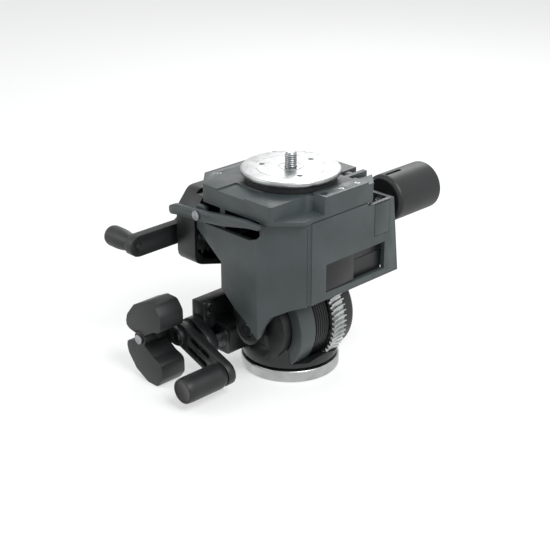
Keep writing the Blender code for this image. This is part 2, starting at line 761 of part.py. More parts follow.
def worm_box_block(grow):
    half = pan_worm_room + worm_box_wall + grow
    return prism(rounded([(pan_worm_x - half, pan_wheel_height - half), (pan_worm_x + half, pan_wheel_height - half),
                          (pan_worm_x + half, pan_wheel_height + half), (pan_worm_x - half, pan_wheel_height + half)],
                         worm_box_round, 3), "Y", worm_box_front - grow, worm_box_back + grow)


def below_skirt(grow):
    reach = tilt_pitch_radius + 3 * overrun
    return box((-reach, reach), (-reach, reach), (-reach, skirt_top + grow))


def drum_axis_ring(inner, outer, low, high, edge, sides):
    """A ring about the tilt axis, with its outer edges bevelled."""
    return turned([(inner, low), (outer - edge, low), (outer, low + edge), (outer, high - edge), (outer - edge, high),
                   (inner, high)], "Y", (0, tilt_axis_height), sides, True)


def drum_ring(name, shape, material):
    """A ring on the core, open below where the skirt, the worm box and the pan wheel's room are."""
    ring = solid(name, shape, material, pan)
    reach = tilt_pitch_radius + 3 * overrun
    worm_box_top = pan_wheel_height + pan_worm_room + worm_box_wall
    cut(ring, below_skirt(gap), box((-reach, 0), (-reach, reach), (0, worm_box_top + gap)), pan_hollows()[0])
    return ring


def housing_pieces():
    dome = [(dome_radius, housing_bottom), (dome_radius, housing_bottom + skirt_height)]
    rise = dome_height - housing_bottom - skirt_height
    dome_steps = 5
    for i in range(1, dome_steps + 1):
        angle = i / dome_steps * pi / 2
        dome.append((max(dome_radius * cos(angle), gap), housing_bottom + skirt_height + rise * sin(angle)))
    housing = solid("pan_housing", turned(dome, "Z", sides=ring_sides), black, pan)
    axis_place = (0, tilt_axis_height)
    join(housing, rod("Y", axis_place, core_radius - gap, core_front, cheek_back, round_sides))
    space = drum_axis_ring(core_radius, base_radius + 2 * overrun, band_front - gap, cheek_back + gap, 0, round_sides)
    bmesh.ops.bisect_plane(space, geom=space.verts[:] + space.edges[:] + space.faces[:], dist=gap / 100,
                           plane_co=(0, 0, skirt_top), plane_no=(0, 0, 1), clear_inner=True)
    bmesh.ops.holes_fill(space, edges=[edge for edge in space.edges if edge.is_boundary])
    cut(housing, space)
    join(housing, worm_box_block(0))
    half = bracket_width / 2
    join(housing, prism(rounded([(pan_crank_x - half, bracket_bottom), (pan_crank_x + half, bracket_bottom),
                                 (pan_crank_x + half, bracket_top), (pan_crank_x - half, bracket_top)],
                                bracket_round, 3), "Y", bracket_front, bracket_back))
    cut(housing, *pan_hollows())
    cut(housing, rod("Y", axis_place, tilt_shaft_radius + gap, tilt_shaft_front, tilt_shaft_back))
    cut(housing, rod("Y", (pan_crank_x, pan_crank_height), pan_crank_shaft_radius + running_gap,
                     bracket_front - overrun, pan_crank_shaft_back + gap))
    names = ("bracket_screw_top", "bracket_screw_middle", "bracket_screw_low")
    for name, y, rise in zip(names, bracket_screw_y, bracket_screw_rises):
        height = pan_crank_height + rise
        cut(housing, rod("X", (y, height), bracket_screw_shank + gap, bracket_right - bracket_screw_length - gap,
                         bracket_right + overrun))
        screw = [(bracket_screw_shank, bracket_right - bracket_screw_length),
                 (bracket_screw_shank, bracket_right + gap), (bracket_screw_radius, bracket_right + gap),
                 (bracket_screw_radius, bracket_right + bracket_screw_head)]
        made = solid(name, turned(screw, "X", (y, height), small_sides), steel, pan)
        cut(made, hex_socket("X", (y, height), bracket_screw_radius * socket_share,
                             bracket_right + bracket_screw_head / 2, bracket_right + overrun))

    cap = turned([(pan_shaft_radius + running_gap, worm_box_front), (pan_worm_room - gap, worm_box_front),
                  (pan_worm_room - gap, worm_box_front + worm_cap_thickness),
                  (pan_shaft_radius + running_gap, worm_box_front + worm_cap_thickness)], "Y",
                 (pan_worm_x, pan_wheel_height), round_sides, True)
    solid("pan_worm_cap", cap, steel, pan)


def hex_socket(axis, centre, radius, low, high):
    return rod(axis, centre, radius, low, high, 6)


def drum_pieces():
    inner = core_radius + gap
    band = drum_axis_ring(inner, band_radius, band_front, band_front + band_width, band_edge, ring_sides)
    drum_ring("drum_band", band, slate)
    low = groove_ring_front
    profile = [(inner, low)]
    pitch = groove_ring_width / groove_count
    for i in range(groove_count):
        start = low + i * pitch
        profile += [(groove_ring_radius, start), (groove_ring_radius, start + pitch / 2),
                    (groove_ring_radius - groove_depth, start + pitch / 2),
                    (groove_ring_radius - groove_depth, start + pitch)]
    profile.append((inner, low + groove_ring_width))
    drum_ring("groove_ring", turned(profile, "Y", (0, tilt_axis_height), ring_sides, True), black)
    slope = tilt_module / (2 * tilt_worm_radius)
    wheel = worm_wheel("Y", (0, tilt_axis_height), tilt_teeth, tilt_pitch_radius, tilt_wheel_middle,
                       tilt_wheel_width, inner, slope, tilt_throat, 0.0, 2)
    drum_ring("tilt_worm_wheel", wheel, silver)
    profile = [(inner, cheek_front), (cheek_radius, cheek_front)]
    cheek_steps = 4
    for i in range(cheek_steps + 1):
        angle = i / cheek_steps * pi / 2
        profile.append((cheek_radius - cheek_round * (1 - cos(angle)),
                        cheek_back - cheek_round * (1 - sin(angle))))
    profile.append((inner, cheek_back))
    drum_ring("drum_cheek", turned(profile, "Y", (0, tilt_axis_height), ring_sides, True), black)
    radius = tilt_shaft_radius
    shaft = [(radius - shaft_chamfer, tilt_shaft_front), (radius, tilt_shaft_front + shaft_chamfer),
             (radius, tilt_shaft_back - shaft_chamfer), (radius - shaft_chamfer, tilt_shaft_back)]
    solid("tilt_shaft", turned(shaft, "Y", (0, tilt_axis_height), round_sides), steel, pan)


def pan_gear_pieces():
    worm_place = (pan_worm_x, pan_wheel_height)
    crank_place = (pan_crank_x, pan_crank_height)
    pair_radius = pan_pair_distance / 2
    pair_back = pan_pair_front + pan_pair_width
    direction = atan2(pan_wheel_height - pan_crank_height, pan_worm_x - pan_crank_x)
    before = [(pan_shaft_radius, pan_pair_front - gap), (pan_shaft_radius, -pan_worm_length / 2)]
    after = [(pan_shaft_radius, pan_worm_length / 2), (pan_shaft_radius, worm_box_back - worm_box_wall - gap)]
    solid("pan_worm_shaft", worm("Y", worm_place, pan_worm_radius, pan_module, 0, pan_worm_length, 1, 0, before,
                                 after), steel, pan_worm)
    solid("pan_worm_gear", gear("Y", worm_place, pan_pair_teeth, pair_radius, pan_pair_front, pair_back,
                                pan_shaft_radius + gap, direction + pi + pi / pan_pair_teeth), steel, pan_worm)
    solid("pan_pinion", gear("Y", crank_place, pan_pair_teeth, pair_radius, pan_pair_front, pair_back,
                             pan_crank_shaft_radius + gap, direction), steel, pan_crank)

    tip = pair_radius + addendum_share * 2 * pair_radius / pan_pair_teeth
    cover = solid("gear_cover", prism(slot_outline(crank_place, worm_place, tip + gear_room + gear_cover_wall, 7),
                                      "Y", gear_cover_front, gear_cover_back), black, pan)
    cut(cover, prism(slot_outline(crank_place, worm_place, tip + gear_room, 7), "Y",
                     gear_cover_front + gear_cover_wall, gear_cover_back + overrun))
    cut(cover, rod("Y", crank_place, pan_crank_shaft_radius + running_gap, gear_cover_front - overrun,
                   gear_cover_back + overrun))


def along_arm(share, aside):
    """A place on the pan crank's arm, from its share of the reach and how far it lies to the side."""
    start = Vector((pan_crank_x, pan_crank_height))
    end = Vector((pan_handle_x, pan_handle_height))
    side = Vector((start.y - end.y, end.x - start.x)).normalized()
    return tuple(start.lerp(end, share) + side * aside)


def pan_crank_pieces():
    crank_place = (pan_crank_x, pan_crank_height)
    handle_place = (pan_handle_x, pan_handle_height)
    arm_back = pan_arm_front + pan_arm_thickness
    shaft = [(pan_crank_shaft_radius - shaft_chamfer, pinch_plate_front),
             (pan_crank_shaft_radius, pinch_plate_front + shaft_chamfer),
             (pan_crank_shaft_radius, pan_crank_shaft_back - shaft_chamfer),
             (pan_crank_shaft_radius - shaft_chamfer, pan_crank_shaft_back)]
    solid("pan_crank_shaft", turned(shaft, "Y", crank_place, round_sides), steel, pan_crank)
    arm = solid("pan_crank_arm", prism(slot_outline(crank_place, handle_place, pan_arm_width / 2, 7), "Y",
                                       pan_arm_front, arm_back), plastic, pan_crank)
    for first, last in arm_slot_shares:
        for side in (-arm_slot_offset, arm_slot_offset):
            cut(arm, prism(slot_outline(along_arm(first, side), along_arm(last, side), arm_slot_radius), "Y",
                           pan_arm_front - overrun, arm_back + overrun))
    cut(arm, rod("Y", crank_place, pan_crank_shaft_radius + gap, pan_arm_front - overrun, arm_back + overrun,
                 round_sides))
    cut(arm, rod("Y", handle_place, handle_pin_radius + gap, pan_arm_front - overrun, arm_back + overrun,
                 round_sides))

    handle_end = pan_arm_front - gap - pan_handle_length
    pin_front = handle_end + handle_cap_inset + handle_cap_depth + gap
    pin = [(handle_pin_head, pin_front), (handle_pin_head, pin_front + handle_cap_depth),
           (handle_pin_radius, pin_front + handle_cap_depth), (handle_pin_radius, arm_back)]
    solid("pan_handle_pin", turned(pin, "Y", handle_place, small_sides), steel, pan_crank)
    head_room = handle_pin_head + 2 * running_gap
    low = handle_end
    high = pan_arm_front - gap
    seat = pin_front + handle_cap_depth + running_gap
    profile = [(handle_pin_radius + running_gap, seat), (head_room, seat), (head_room, low + handle_cap_inset),
               (pan_handle_radius - handle_wall, low + handle_cap_inset), (pan_handle_radius - handle_wall, low),
               (pan_handle_radius - handle_wall / 2, low), (pan_handle_radius, low + handle_round),
               (pan_handle_radius, high - handle_round), (pan_handle_radius - handle_wall / 2, high),
               (handle_pin_radius + running_gap, high)]
    solid("pan_handle", turned(profile, "Y", handle_place, round_sides, True), plastic, pan_grip)
    cap = rod("Y", handle_place, pan_handle_radius - handle_wall - gap, low + gap, low + handle_cap_inset - gap,
              round_sides)
    solid("pan_handle_cap", cap, black, pan_grip)


def pinch_lobe(name, body, side):
    """A pinch lever: a wing above (1) or below (-1) the pin, and its knuckle on the pin."""
    outline = [(x, pinch_pin_height + side * (z - pinch_pin_height)) for x, z in pinch_upper_outline]
    lobe = solid(name, prism(rounded(outline, pinch_round, 2), "Y", pinch_front, pinch_back), plastic, body)
    middle = (pinch_front + pinch_back) / 2
    pin_place = (pinch_pin_x, pinch_pin_height)
    own = (middle + gap / 2, pinch_back) if side > 0 else (pinch_front, middle - gap / 2)
    other = (pinch_front - overrun, middle + gap / 2) if side > 0 else (middle - gap / 2, pinch_back + overrun)
    cut(lobe, rod("Y", pin_place, pinch_knuckle + 2 * gap, other[0], other[1], round_sides))
    join(lobe, rod("Y", pin_place, pinch_knuckle, own[0], own[1], round_sides))
    cut(lobe, rod("Y", pin_place, pinch_pin_radius + running_gap, pinch_front - overrun, pinch_back + overrun))


def pinch_pieces():
    crank_place = (pan_crank_x, pan_crank_height)
    pin_place = (pinch_pin_x, pinch_pin_height)
    plate_back = pinch_plate_front + pinch_plate_thickness
    plate = solid("pinch_plate", prism(slot_outline(crank_place, pin_place, pinch_plate_radius, 7), "Y",
                                       pinch_plate_front, plate_back), plastic, pan_crank)
    cut(plate, rod("Y", crank_place, pan_crank_shaft_radius + gap, pinch_plate_front - overrun, plate_back + overrun))
    cut(plate, rod("Y", pin_place, pinch_pin_radius + gap, pinch_plate_front - overrun, plate_back + overrun))
    pin = [(pinch_pin_radius, plate_back), (pinch_pin_radius, pinch_front - gap),
           (pinch_pin_head, pinch_front - gap), (pinch_pin_head, pinch_front - gap - pinch_head_thickness)]
    solid("pinch_pin", turned(pin, "Y", pin_place, small_sides), steel, pan_crank)
    pinch_lobe("pinch_lever_upper", pinch_upper, 1)
    pinch_lobe("pinch_lever_lower", pinch_lower, -1)


def casing_plan(inset, back):
    """The casing's plan outline, drawn in from the outside by a wall."""
    left_share, crease_share, corner_share = 0.45, 0.35, 0.4
    return [(casing_left_front_x + inset * left_share, casing_front + inset),
            (casing_crease_x - inset * crease_share, casing_front + inset),
            (casing_right - inset, casing_corner_y + inset * corner_share), (casing_right - inset, back - inset),
            (casing_left + inset, back - inset), (casing_left + inset, casing_left_y + inset * corner_share)]


def casing_pieces():
    low = leg_tip_height - overrun
    slant = casing_back_slant * (casing_top - low) / (casing_top - casing_bottom)
    casing = solid("casing", loft(casing_plan(0, casing_back + slant), casing_plan(0, casing_back), low, casing_top),
                   slate, tilt)
    over = overrun / (casing_top - low)
    cut(casing, loft(casing_plan(casing_wall, casing_back + slant * (1 + over)),
                     casing_plan(casing_wall, casing_back - slant * over), low - overrun, casing_top + overrun))
    wide = 2 * casing_right
    front_of_walls = casing_left_y - casing_round
    below = [(-wide, low - overrun), (-wide, casing_left_bottom), (casing_left_front_x, casing_left_bottom)]
    below += front_arch + side_arch + [(wide, casing_bottom), (wide, low - overrun)]
    cut(casing, prism(below, "Y", -wide, front_of_walls))
    cut(casing, box((-wide, wide), (front_of_walls - gap, wide), (low - overrun, casing_bottom)))
    cut(casing, box((-wide, casing_left + casing_wall + gap), (front_of_walls - gap, wide),
                    (low - overrun, casing_left_bottom)))
    front_in = casing_front + casing_wall
    cut(casing, prism(pocket_outline, "Y", casing_front - overrun, front_in + gap))
    cut(casing, box((-wide, wide), (casing_back_cut_y, wide), (casing_back_top, casing_top + overrun)))
    join(casing, prism(flare_outline, "Y", casing_front, front_in))
    cut(casing, box((casing_right - recess_depth, casing_right + overrun), (recess_front, recess_back),
                    (recess_bottom, recess_top)))
    cut(casing, box((casing_right - casing_wall - overrun, casing_right + overrun), (plate_back + gap, recess_back),
                    (recess_bottom, recess_top)))
    cut(casing, box((casing_right - panel_thickness, casing_right + overrun), (panel_front, panel_back),
                    (panel_bottom, panel_top)))
    cut(casing, rod("Z", (casing_right, casing_corner_y), corner_slot_width / 2, casing_bottom - overrun,
                    casing_top + overrun))
    worm_place = (tilt_wheel_middle, tilt_worm_height)
    crank_place = (tilt_crank_y, tilt_crank_height)
    left = casing_left - overrun
    left_in = casing_left + casing_wall + overrun
    cut(casing, rod("X", worm_place, tilt_worm_shaft_radius + 2 * running_gap, left, left_in))
    cut(casing, rod("X", (tilt_idler_y, tilt_idler_height), idler_pin_radius + running_gap, left, left_in))
    cut(casing, rod("X", crank_place, tilt_crank_shaft_radius + running_gap, left, left_in))
    cut(casing, rod("Y", (lift_worm_x, lift_worm_height), lift_shaft_radius + running_gap,
                    casing_back - casing_wall - 2 * overrun, casing_back + 4 * overrun))
    cut(casing, rod("Y", (lever_pin_x, lever_pin_height), lever_pin_radius + gap, casing_front - overrun,
                    front_in + overrun))

    plate = box((casing_right - recess_depth + gap / 2, casing_right - recess_depth + plate_thickness),
                (recess_front + gap, plate_back - gap), (recess_bottom + gap, recess_top - gap))
    solid("label_plate", plate, black, tilt)
    panel = box((casing_right - panel_thickness + gap / 2, casing_right + gap),
                (panel_front + gap, panel_back - gap), (panel_bottom + gap, panel_top - 2 * gap))
    solid("side_panel", panel, slate, tilt)


def frame_pieces():
    inset = casing_wall + frame_side_gap
    plate_top = frame_plate_bottom + frame_plate_thickness
    frame = solid("tilt_frame", prism(casing_plan(inset, frame_plate_back + inset), "Z", frame_plate_bottom,
                                      plate_top), black, tilt)
    axis_place = (0, tilt_axis_height)
    half = frame_arm_width / 2
    arm_top = frame_plate_bottom + frame_plate_thickness / 2
    for low, high in ((frame_plate_front, frame_plate_front + frame_arm_thickness),
                      (frame_plate_back - frame_arm_thickness, frame_plate_back)):
        outline = slot_outline(axis_place, (0, arm_top), half, 7)
        outline = [(x, min(z, arm_top)) for x, z in outline]
        join(frame, prism(clean_outline(outline), "Y", low, high))
    lug_low = tilt_worm_height - frame_lug_radius
    for x in (-frame_lug_x, frame_lug_x):
        half_lug = frame_lug_thickness / 2
        join(frame, box((x - half_lug, x + half_lug), (tilt_wheel_middle - frame_lug_radius,
                                                       tilt_wheel_middle + frame_lug_radius), (lug_low, arm_top)))
    for x in (ear_left_x, ear_right_x):
        outline = slot_outline((hinge_y, hinge_height), (hinge_y, arm_top), ear_radius, 7)
        outline = clean_outline([(y, max(z, arm_top)) for y, z in outline])
        join(frame, prism(outline, "X", x, x + ear_thickness))
    join(frame, box((lift_worm_x - bearing_half, lift_worm_x + bearing_half),
                    (bearing_front, bearing_front + bearing_thickness),
                    (arm_top, lift_worm_height + bearing_half)))
    reach = ear_thickness + overrun
    cut(frame, rod("Y", axis_place, tilt_shaft_radius + running_gap, tilt_shaft_front - overrun,
                   tilt_shaft_back + overrun, round_sides))
    cut(frame, rod("X", (tilt_wheel_middle, tilt_worm_height), tilt_worm_shaft_radius + running_gap,
                   -frame_lug_x - overrun, frame_lug_x + overrun))
    cut(frame, rod("X", (hinge_y, hinge_height), hinge_pin_radius + running_gap, ear_left_x - reach,
                   ear_right_x + 2 * reach, round_sides))
    cut(frame, rod("Y", (lift_worm_x, lift_worm_height), lift_shaft_radius + running_gap,
                   bearing_front + overrun / 2, bearing_front + bearing_thickness + overrun))
    cut(frame, rod("Z", (0, -frame_hole_radius), frame_hole_radius, frame_plate_bottom - overrun,
                   plate_top + overrun, round_sides))


def clean_outline(points):
    """The outline without points that fall on each other."""
    kept = []
    for point in points:
        if not kept or (Vector(point) - Vector(kept[-1])).length > gap / 10:
            kept.append(point)
    if (Vector(kept[0]) - Vector(kept[-1])).length <= gap / 10:
        kept.pop()
    return kept


def train_pieces():
    crank_place = (tilt_crank_y, tilt_crank_height)
    idler_place = (tilt_idler_y, tilt_idler_height)
    worm_place = (tilt_wheel_middle, tilt_worm_height)
    pair = sqrt((tilt_wheel_middle - tilt_crank_y) ** 2 + (tilt_worm_height - tilt_crank_height) ** 2) / 2
    pitch_radius = pair / 2
    tip = pitch_radius + addendum_share * 2 * pitch_radius / train_teeth
    case_inside = gear_case_left + gear_case_front_wall
    case = solid("gear_case", prism(rounded(gear_case_outline, gear_case_round, 3), "X", gear_case_left,
                                    gear_case_right), slate, tilt)
    cut(case, prism(slot_outline(crank_place, worm_place, tip + gear_room, 7), "X", case_inside,
                    gear_case_right + overrun))
    cut(case, box((slab_left - 2 * gap, gear_case_right + overrun), (2 * casing_front, casing_back),
                  (casing_top - gap, side_slab_top)))
    cut(case, rod("X", crank_place, tilt_crank_shaft_radius + running_gap, gear_case_left - overrun,
                  case_inside + overrun))
    cut(case, rod("X", idler_place, idler_pin_radius + running_gap, case_inside - gear_case_front_wall / 2,
                  case_inside + overrun))
    low = train_x - train_width / 2
    high = train_x + train_width / 2
    direction = atan2(tilt_worm_height - tilt_crank_height, tilt_wheel_middle - tilt_crank_y)
    solid("tilt_crank_gear", gear("X", crank_place, train_teeth, pitch_radius, low, high,
                                  tilt_crank_shaft_radius + gap, direction), steel, tilt_crank)
    solid("tilt_idler_gear", gear("X", idler_place, train_teeth, pitch_radius, low, high, idler_pin_radius + gap,
                                  direction + pi + pi / train_teeth), bronze, tilt_idler)
    pin = [(idler_pin_radius, case_inside - gear_case_front_wall / 2 + gap),
           (idler_pin_radius, casing_left + casing_wall)]
    solid("tilt_idler_pin", turned(pin, "X", idler_place, small_sides), steel, tilt_idler)
    solid("tilt_worm_gear", gear("X", worm_place, train_teeth, pitch_radius, low, high,
                                 tilt_worm_shaft_radius + gap, direction + pi), steel, tilt_worm)
    radius = tilt_worm_shaft_radius
    before = [(radius, low - gap), (radius, -tilt_worm_length / 2)]
    after = [(radius, tilt_worm_length / 2), (radius, frame_lug_x + frame_lug_thickness)]
    solid("tilt_worm_shaft", worm("X", worm_place, tilt_worm_radius, tilt_module, 0, tilt_worm_length, -1, 0.75,
                                  before, after), steel, tilt_worm)


def tilt_crank_pieces():
    crank_place = (tilt_crank_y, tilt_crank_height)
    handle_place = (tilt_crank_y - tilt_arm_reach, tilt_crank_height)
    boss_left = gear_case_left - gap - tilt_boss_length
    arm_left = boss_left - tilt_arm_thickness
    half = tilt_arm_width / 2
    arm = solid("tilt_crank_arm", prism(slot_outline(crank_place, handle_place, half, 7), "X", arm_left, boss_left),
                plastic, tilt_crank)
    join(arm, rod("X", crank_place, tilt_boss_radius, arm_left, gear_case_left - gap, round_sides))
    cut(arm, rod("X", crank_place, tilt_crank_shaft_radius + gap, arm_left + overrun, gear_case_left + overrun))
    cut(arm, rod("X", handle_place, tilt_handle_pin_radius + gap, arm_left - overrun, boss_left + overrun))
    shaft = [(tilt_crank_shaft_radius, arm_left + overrun + gap),
             (tilt_crank_shaft_radius, casing_left + casing_wall - shaft_chamfer),
             (tilt_crank_shaft_radius - shaft_chamfer, casing_left + casing_wall)]
    solid("tilt_crank_shaft", turned(shaft, "X", crank_place, round_sides), steel, tilt_crank)
    handle_right = arm_left - gap
    handle_left = handle_right - tilt_handle_length
    pin_left = handle_left + handle_cap_depth
    pin = [(tilt_handle_neck - handle_wall, pin_left), (tilt_handle_neck - handle_wall, pin_left + handle_wall),
           (tilt_handle_pin_radius, pin_left + handle_wall), (tilt_handle_pin_radius, boss_left - gap)]
    solid("tilt_handle_pin", turned(pin, "X", handle_place, small_sides), steel, tilt_crank)
    room = tilt_handle_neck - handle_wall + running_gap
    seat = pin_left + handle_wall + running_gap
    profile = [(tilt_handle_pin_radius + running_gap, seat), (room, seat), (room, handle_left),
               (tilt_handle_radius - handle_wall / 2, handle_left),
               (tilt_handle_radius, handle_left + handle_wall / 2),
               (tilt_handle_radius, handle_left + tilt_handle_length / 2),
               (tilt_handle_neck, handle_right), (tilt_handle_pin_radius + running_gap, handle_right)]
    solid("tilt_handle", turned(profile, "X", handle_place, round_sides, True), plastic, tilt_grip)


def lever_pieces():
    lever_front = lever_back - lever_thickness
    lever = solid("release_lever", prism(rounded(lever_shape, lever_round, 3), "Y", lever_front, lever_back), slate,
                  release_lever)
    pin_place = (lever_pin_x, lever_pin_height)
    cut(lever, rod("Y", pin_place, lever_pin_radius + running_gap, lever_front - overrun, lever_back + overrun))
    head = lever_front - gap
    pin = [(2 * lever_pin_radius, head - handle_wall / 2), (2 * lever_pin_radius, head), (lever_pin_radius, head),
           (lever_pin_radius, casing_front + casing_wall)]
    solid("lever_pin", turned(pin, "Y", pin_place, small_sides), steel, tilt)


def slab_pieces():
    corner = slab_corner
    outline = [(slab_left + corner, slab_front), (slab_right - corner, slab_front), (slab_right, slab_front + corner),
               (slab_right, slab_back - corner), (slab_right - corner, slab_back), (slab_left + corner, slab_back),
               (slab_left, slab_back - corner), (slab_left, slab_front + corner)]
    slab = solid("platform_slab", prism(rounded(outline, 2 * slab_round, 3), "Z", slab_bottom, slab_top), slate,
                 platform)
    join(slab, prism(rounded([(side_slab_x[0], side_slab_y[0]), (side_slab_x[1], side_slab_y[0]),
                              (side_slab_x[1], side_slab_y[1]), (side_slab_x[0], side_slab_y[1])], slab_round, 3),
                     "Z", slab_top - overrun, side_slab_top))
    ear_middles = [x + ear_thickness / 2 for x in (ear_left_x, ear_right_x)]
    cuts = [(middle - slab_notch_half, middle + slab_notch_half) for middle in ear_middles]
    cuts.append((lift_worm_x - sector_notch_half, lift_worm_x + sector_notch_half))
    for sides in cuts:
        cut(slab, box(sides, (slab_notch_back, slab_back + overrun), (slab_bottom - overrun, side_slab_top + overrun)))
    cut(slab, prism(rounded([(front_notch_x[0], front_notch_y[0]), (front_notch_x[1], front_notch_y[0]),
                             (front_notch_x[1], front_notch_y[1]), (front_notch_x[0], front_notch_y[1])],
                            front_notch_round, 4), "Z", slab_bottom + slab_floor, side_slab_top + overrun))
    cut(slab, rod("Z", corner_hole_place, corner_hole_radius, slab_top - corner_hole_depth,
                  side_slab_top + overrun, round_sides))
    cut(slab, rod("X", (hinge_y, hinge_height), hinge_pin_radius + gap, hinge_pin_left, hinge_pin_right,
                  round_sides))
    cut(slab, box((channel_middle - channel_width / 2, channel_middle + channel_width / 2),
                  (slab_front - overrun, -ring_radius), (slab_top - channel_depth, slab_top + overrun)))
    cut(slab, rod("Z", (0, 0), camera_screw_radius + 2 * gap, slab_bottom + slab_floor, slab_top + overrun,
                  round_sides))
    names = ("slab_screw_front", "slab_screw_back", "slab_screw_left_front", "slab_screw_left_back")
    for name, place in zip(names, slab_screw_places):
        top = side_slab_top if place[0] > 0 else slab_top
        cut(slab, rod("Z", place, slab_screw_radius + gap, top - slab_screw_depth, top + overrun))
        solid(name, rod("Z", place, slab_screw_radius, top - slab_screw_depth + gap, top - gap), steel, platform)
    pin = [(hinge_pin_radius - shaft_chamfer, hinge_pin_left + gap),
           (hinge_pin_radius, hinge_pin_left + gap + shaft_chamfer),
           (hinge_pin_radius, hinge_pin_right - gap - shaft_chamfer),
           (hinge_pin_radius - shaft_chamfer, hinge_pin_right - gap)]
    solid("hinge_pin", turned(pin, "X", (hinge_y, hinge_height), round_sides), steel, platform)
    slope = -lift_module / (2 * lift_worm_radius)
    sector = solid("lift_sector", worm_wheel("X", (hinge_y, hinge_height), lift_teeth, lift_pitch_radius, lift_worm_x,
                                             lift_sector_width, hinge_pin_radius + gap, slope, 0.0, -pi / 2, 1),
                   bronze, platform)
    first, last = (share * 2 * pi for share in sector_angles_share)
    fan = [(hinge_y, hinge_height)]
    fan_steps = 10
    for i in range(fan_steps + 1):
        angle = last + (first + 2 * pi - last) * i / fan_steps
        fan.append((hinge_y + sector_reach * cos(angle), hinge_height + sector_reach * sin(angle)))
    wide = lift_sector_width
    remove = prism(fan, "X", lift_worm_x - wide, lift_worm_x + wide)
    cut(sector, remove)
    join(sector, turned([(hinge_pin_radius + gap, lift_worm_x - wide / 2),
                         (sector_hub_radius, lift_worm_x - wide / 2), (sector_hub_radius, lift_worm_x + wide / 2),
                         (hinge_pin_radius + gap, lift_worm_x + wide / 2)], "X", (hinge_y, hinge_height),
                        round_sides, True))


def disc_pieces():
    ring = [(ring_inner, ring_bottom), (ring_radius, ring_bottom), (ring_radius, ring_top), (ring_inner, ring_top)]
    solid("disc_ring", turned(ring, "Z", sides=ring_sides, closed=True), rubber, platform)
    low = ring_top + gap
    hole = camera_screw_radius + gap
    profile = [(hole, low), (disc_radius - disc_bevel, low), (disc_radius, low + disc_bevel),
               (disc_radius, disc_top - disc_bevel), (disc_radius - disc_bevel, disc_top), (hole, disc_top)]
    disc = solid("top_disc", turned(profile, "Z", sides=ring_sides, closed=True), silver, platform)
    names = ("set_screw_back", "set_screw_left", "set_screw_right")
    for name, share in zip(names, set_screw_angles_share):
        angle = share * 2 * pi
        place = (set_screw_circle * cos(angle), set_screw_circle * sin(angle))
        cut(disc, rod("Z", place, set_screw_radius + gap, low - overrun, disc_top + overrun))
        solid(name, rod("Z", place, set_screw_radius, low, disc_top - gap), steel, platform)
    head_low = slab_top + gap
    screw = [(camera_screw_head, head_low), (camera_screw_head, head_low + camera_screw_head_thickness),
             (camera_screw_radius, head_low + camera_screw_head_thickness),
             (camera_screw_radius, disc_top + camera_screw_height - shaft_chamfer),
             (camera_screw_radius - shaft_chamfer, disc_top + camera_screw_height)]
    solid("camera_screw", turned(screw, "Z", sides=round_sides), steel, platform)


def knob_pieces():
    place = (lift_worm_x, lift_worm_height)
    radius = lift_shaft_radius
    half = lift_worm_length / 2
    before = [(radius, bearing_front + bearing_thickness / 2), (radius, hinge_y - half)]
    after = [(radius, hinge_y + half), (radius, knob_front + knob_round)]
    solid("lift_worm_shaft", worm("Y", place, lift_worm_radius, lift_module, hinge_y, lift_worm_length, 1, 0.25,
                                  before, after), steel, lift_knob)
    profile = [(knob_radius - knob_round / 2, knob_front), (knob_radius, knob_front + knob_round / 2)]
    steps = 5
    for i in range(steps + 1):
        angle = i / steps * pi / 2
        profile.append((knob_radius - knob_round * (1 - cos(angle)), knob_back - knob_round * (1 - sin(angle))))
    knob = solid("lift_knob", turned(profile, "Y", place, round_sides + small_sides), plastic, lift_knob)
    cut(knob, rod("Y", place, radius + gap, knob_front - overrun, knob_front + knob_round + gap, round_sides))


base_pieces()
housing_pieces()
drum_pieces()
pan_gear_pieces()
pan_crank_pieces()
pinch_pieces()
casing_pieces()
frame_pieces()
train_pieces()
tilt_crank_pieces()
lever_pieces()
slab_pieces()
disc_pieces()
knob_pieces()
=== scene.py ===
import bpy
import bmesh
from math import cos, pi, radians, sin
from mathutils import Matrix, Vector


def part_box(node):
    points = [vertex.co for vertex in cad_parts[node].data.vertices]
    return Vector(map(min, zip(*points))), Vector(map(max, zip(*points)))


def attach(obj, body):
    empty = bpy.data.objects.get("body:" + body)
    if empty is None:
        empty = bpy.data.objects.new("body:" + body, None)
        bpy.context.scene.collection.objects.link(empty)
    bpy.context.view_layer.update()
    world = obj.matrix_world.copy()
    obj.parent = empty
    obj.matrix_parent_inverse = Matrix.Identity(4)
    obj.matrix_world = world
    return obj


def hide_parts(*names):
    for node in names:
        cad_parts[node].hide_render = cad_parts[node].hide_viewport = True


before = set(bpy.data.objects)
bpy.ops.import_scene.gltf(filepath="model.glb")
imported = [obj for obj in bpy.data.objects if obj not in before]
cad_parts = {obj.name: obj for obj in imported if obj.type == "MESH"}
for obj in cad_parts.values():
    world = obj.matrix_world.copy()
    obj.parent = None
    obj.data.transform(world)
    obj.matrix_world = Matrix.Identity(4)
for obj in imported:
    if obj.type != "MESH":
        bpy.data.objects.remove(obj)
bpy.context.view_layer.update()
scene = bpy.context.scene
mm = 0.001
print("frame loaded")


# Small helpers

def linearColour(hexText):
    channels = [int(hexText[i:i + 2], 16) / 255 for i in (1, 3, 5)]
    return tuple(c / 12.92 if c <= 0.04045 else ((c + 0.055) / 1.055) ** 2.4 for c in channels) + (1.0,)


def addNode(tree, kind, links=(), inputs=(), **settings):
    node = tree.nodes.new(kind)
    for name, value in settings.items():
        setattr(node, name, value)
    for name, value in dict(inputs).items():
        node.inputs[name].default_value = value
    for name, source in dict(links).items():
        tree.links.new(source, node.inputs[name])
    return node


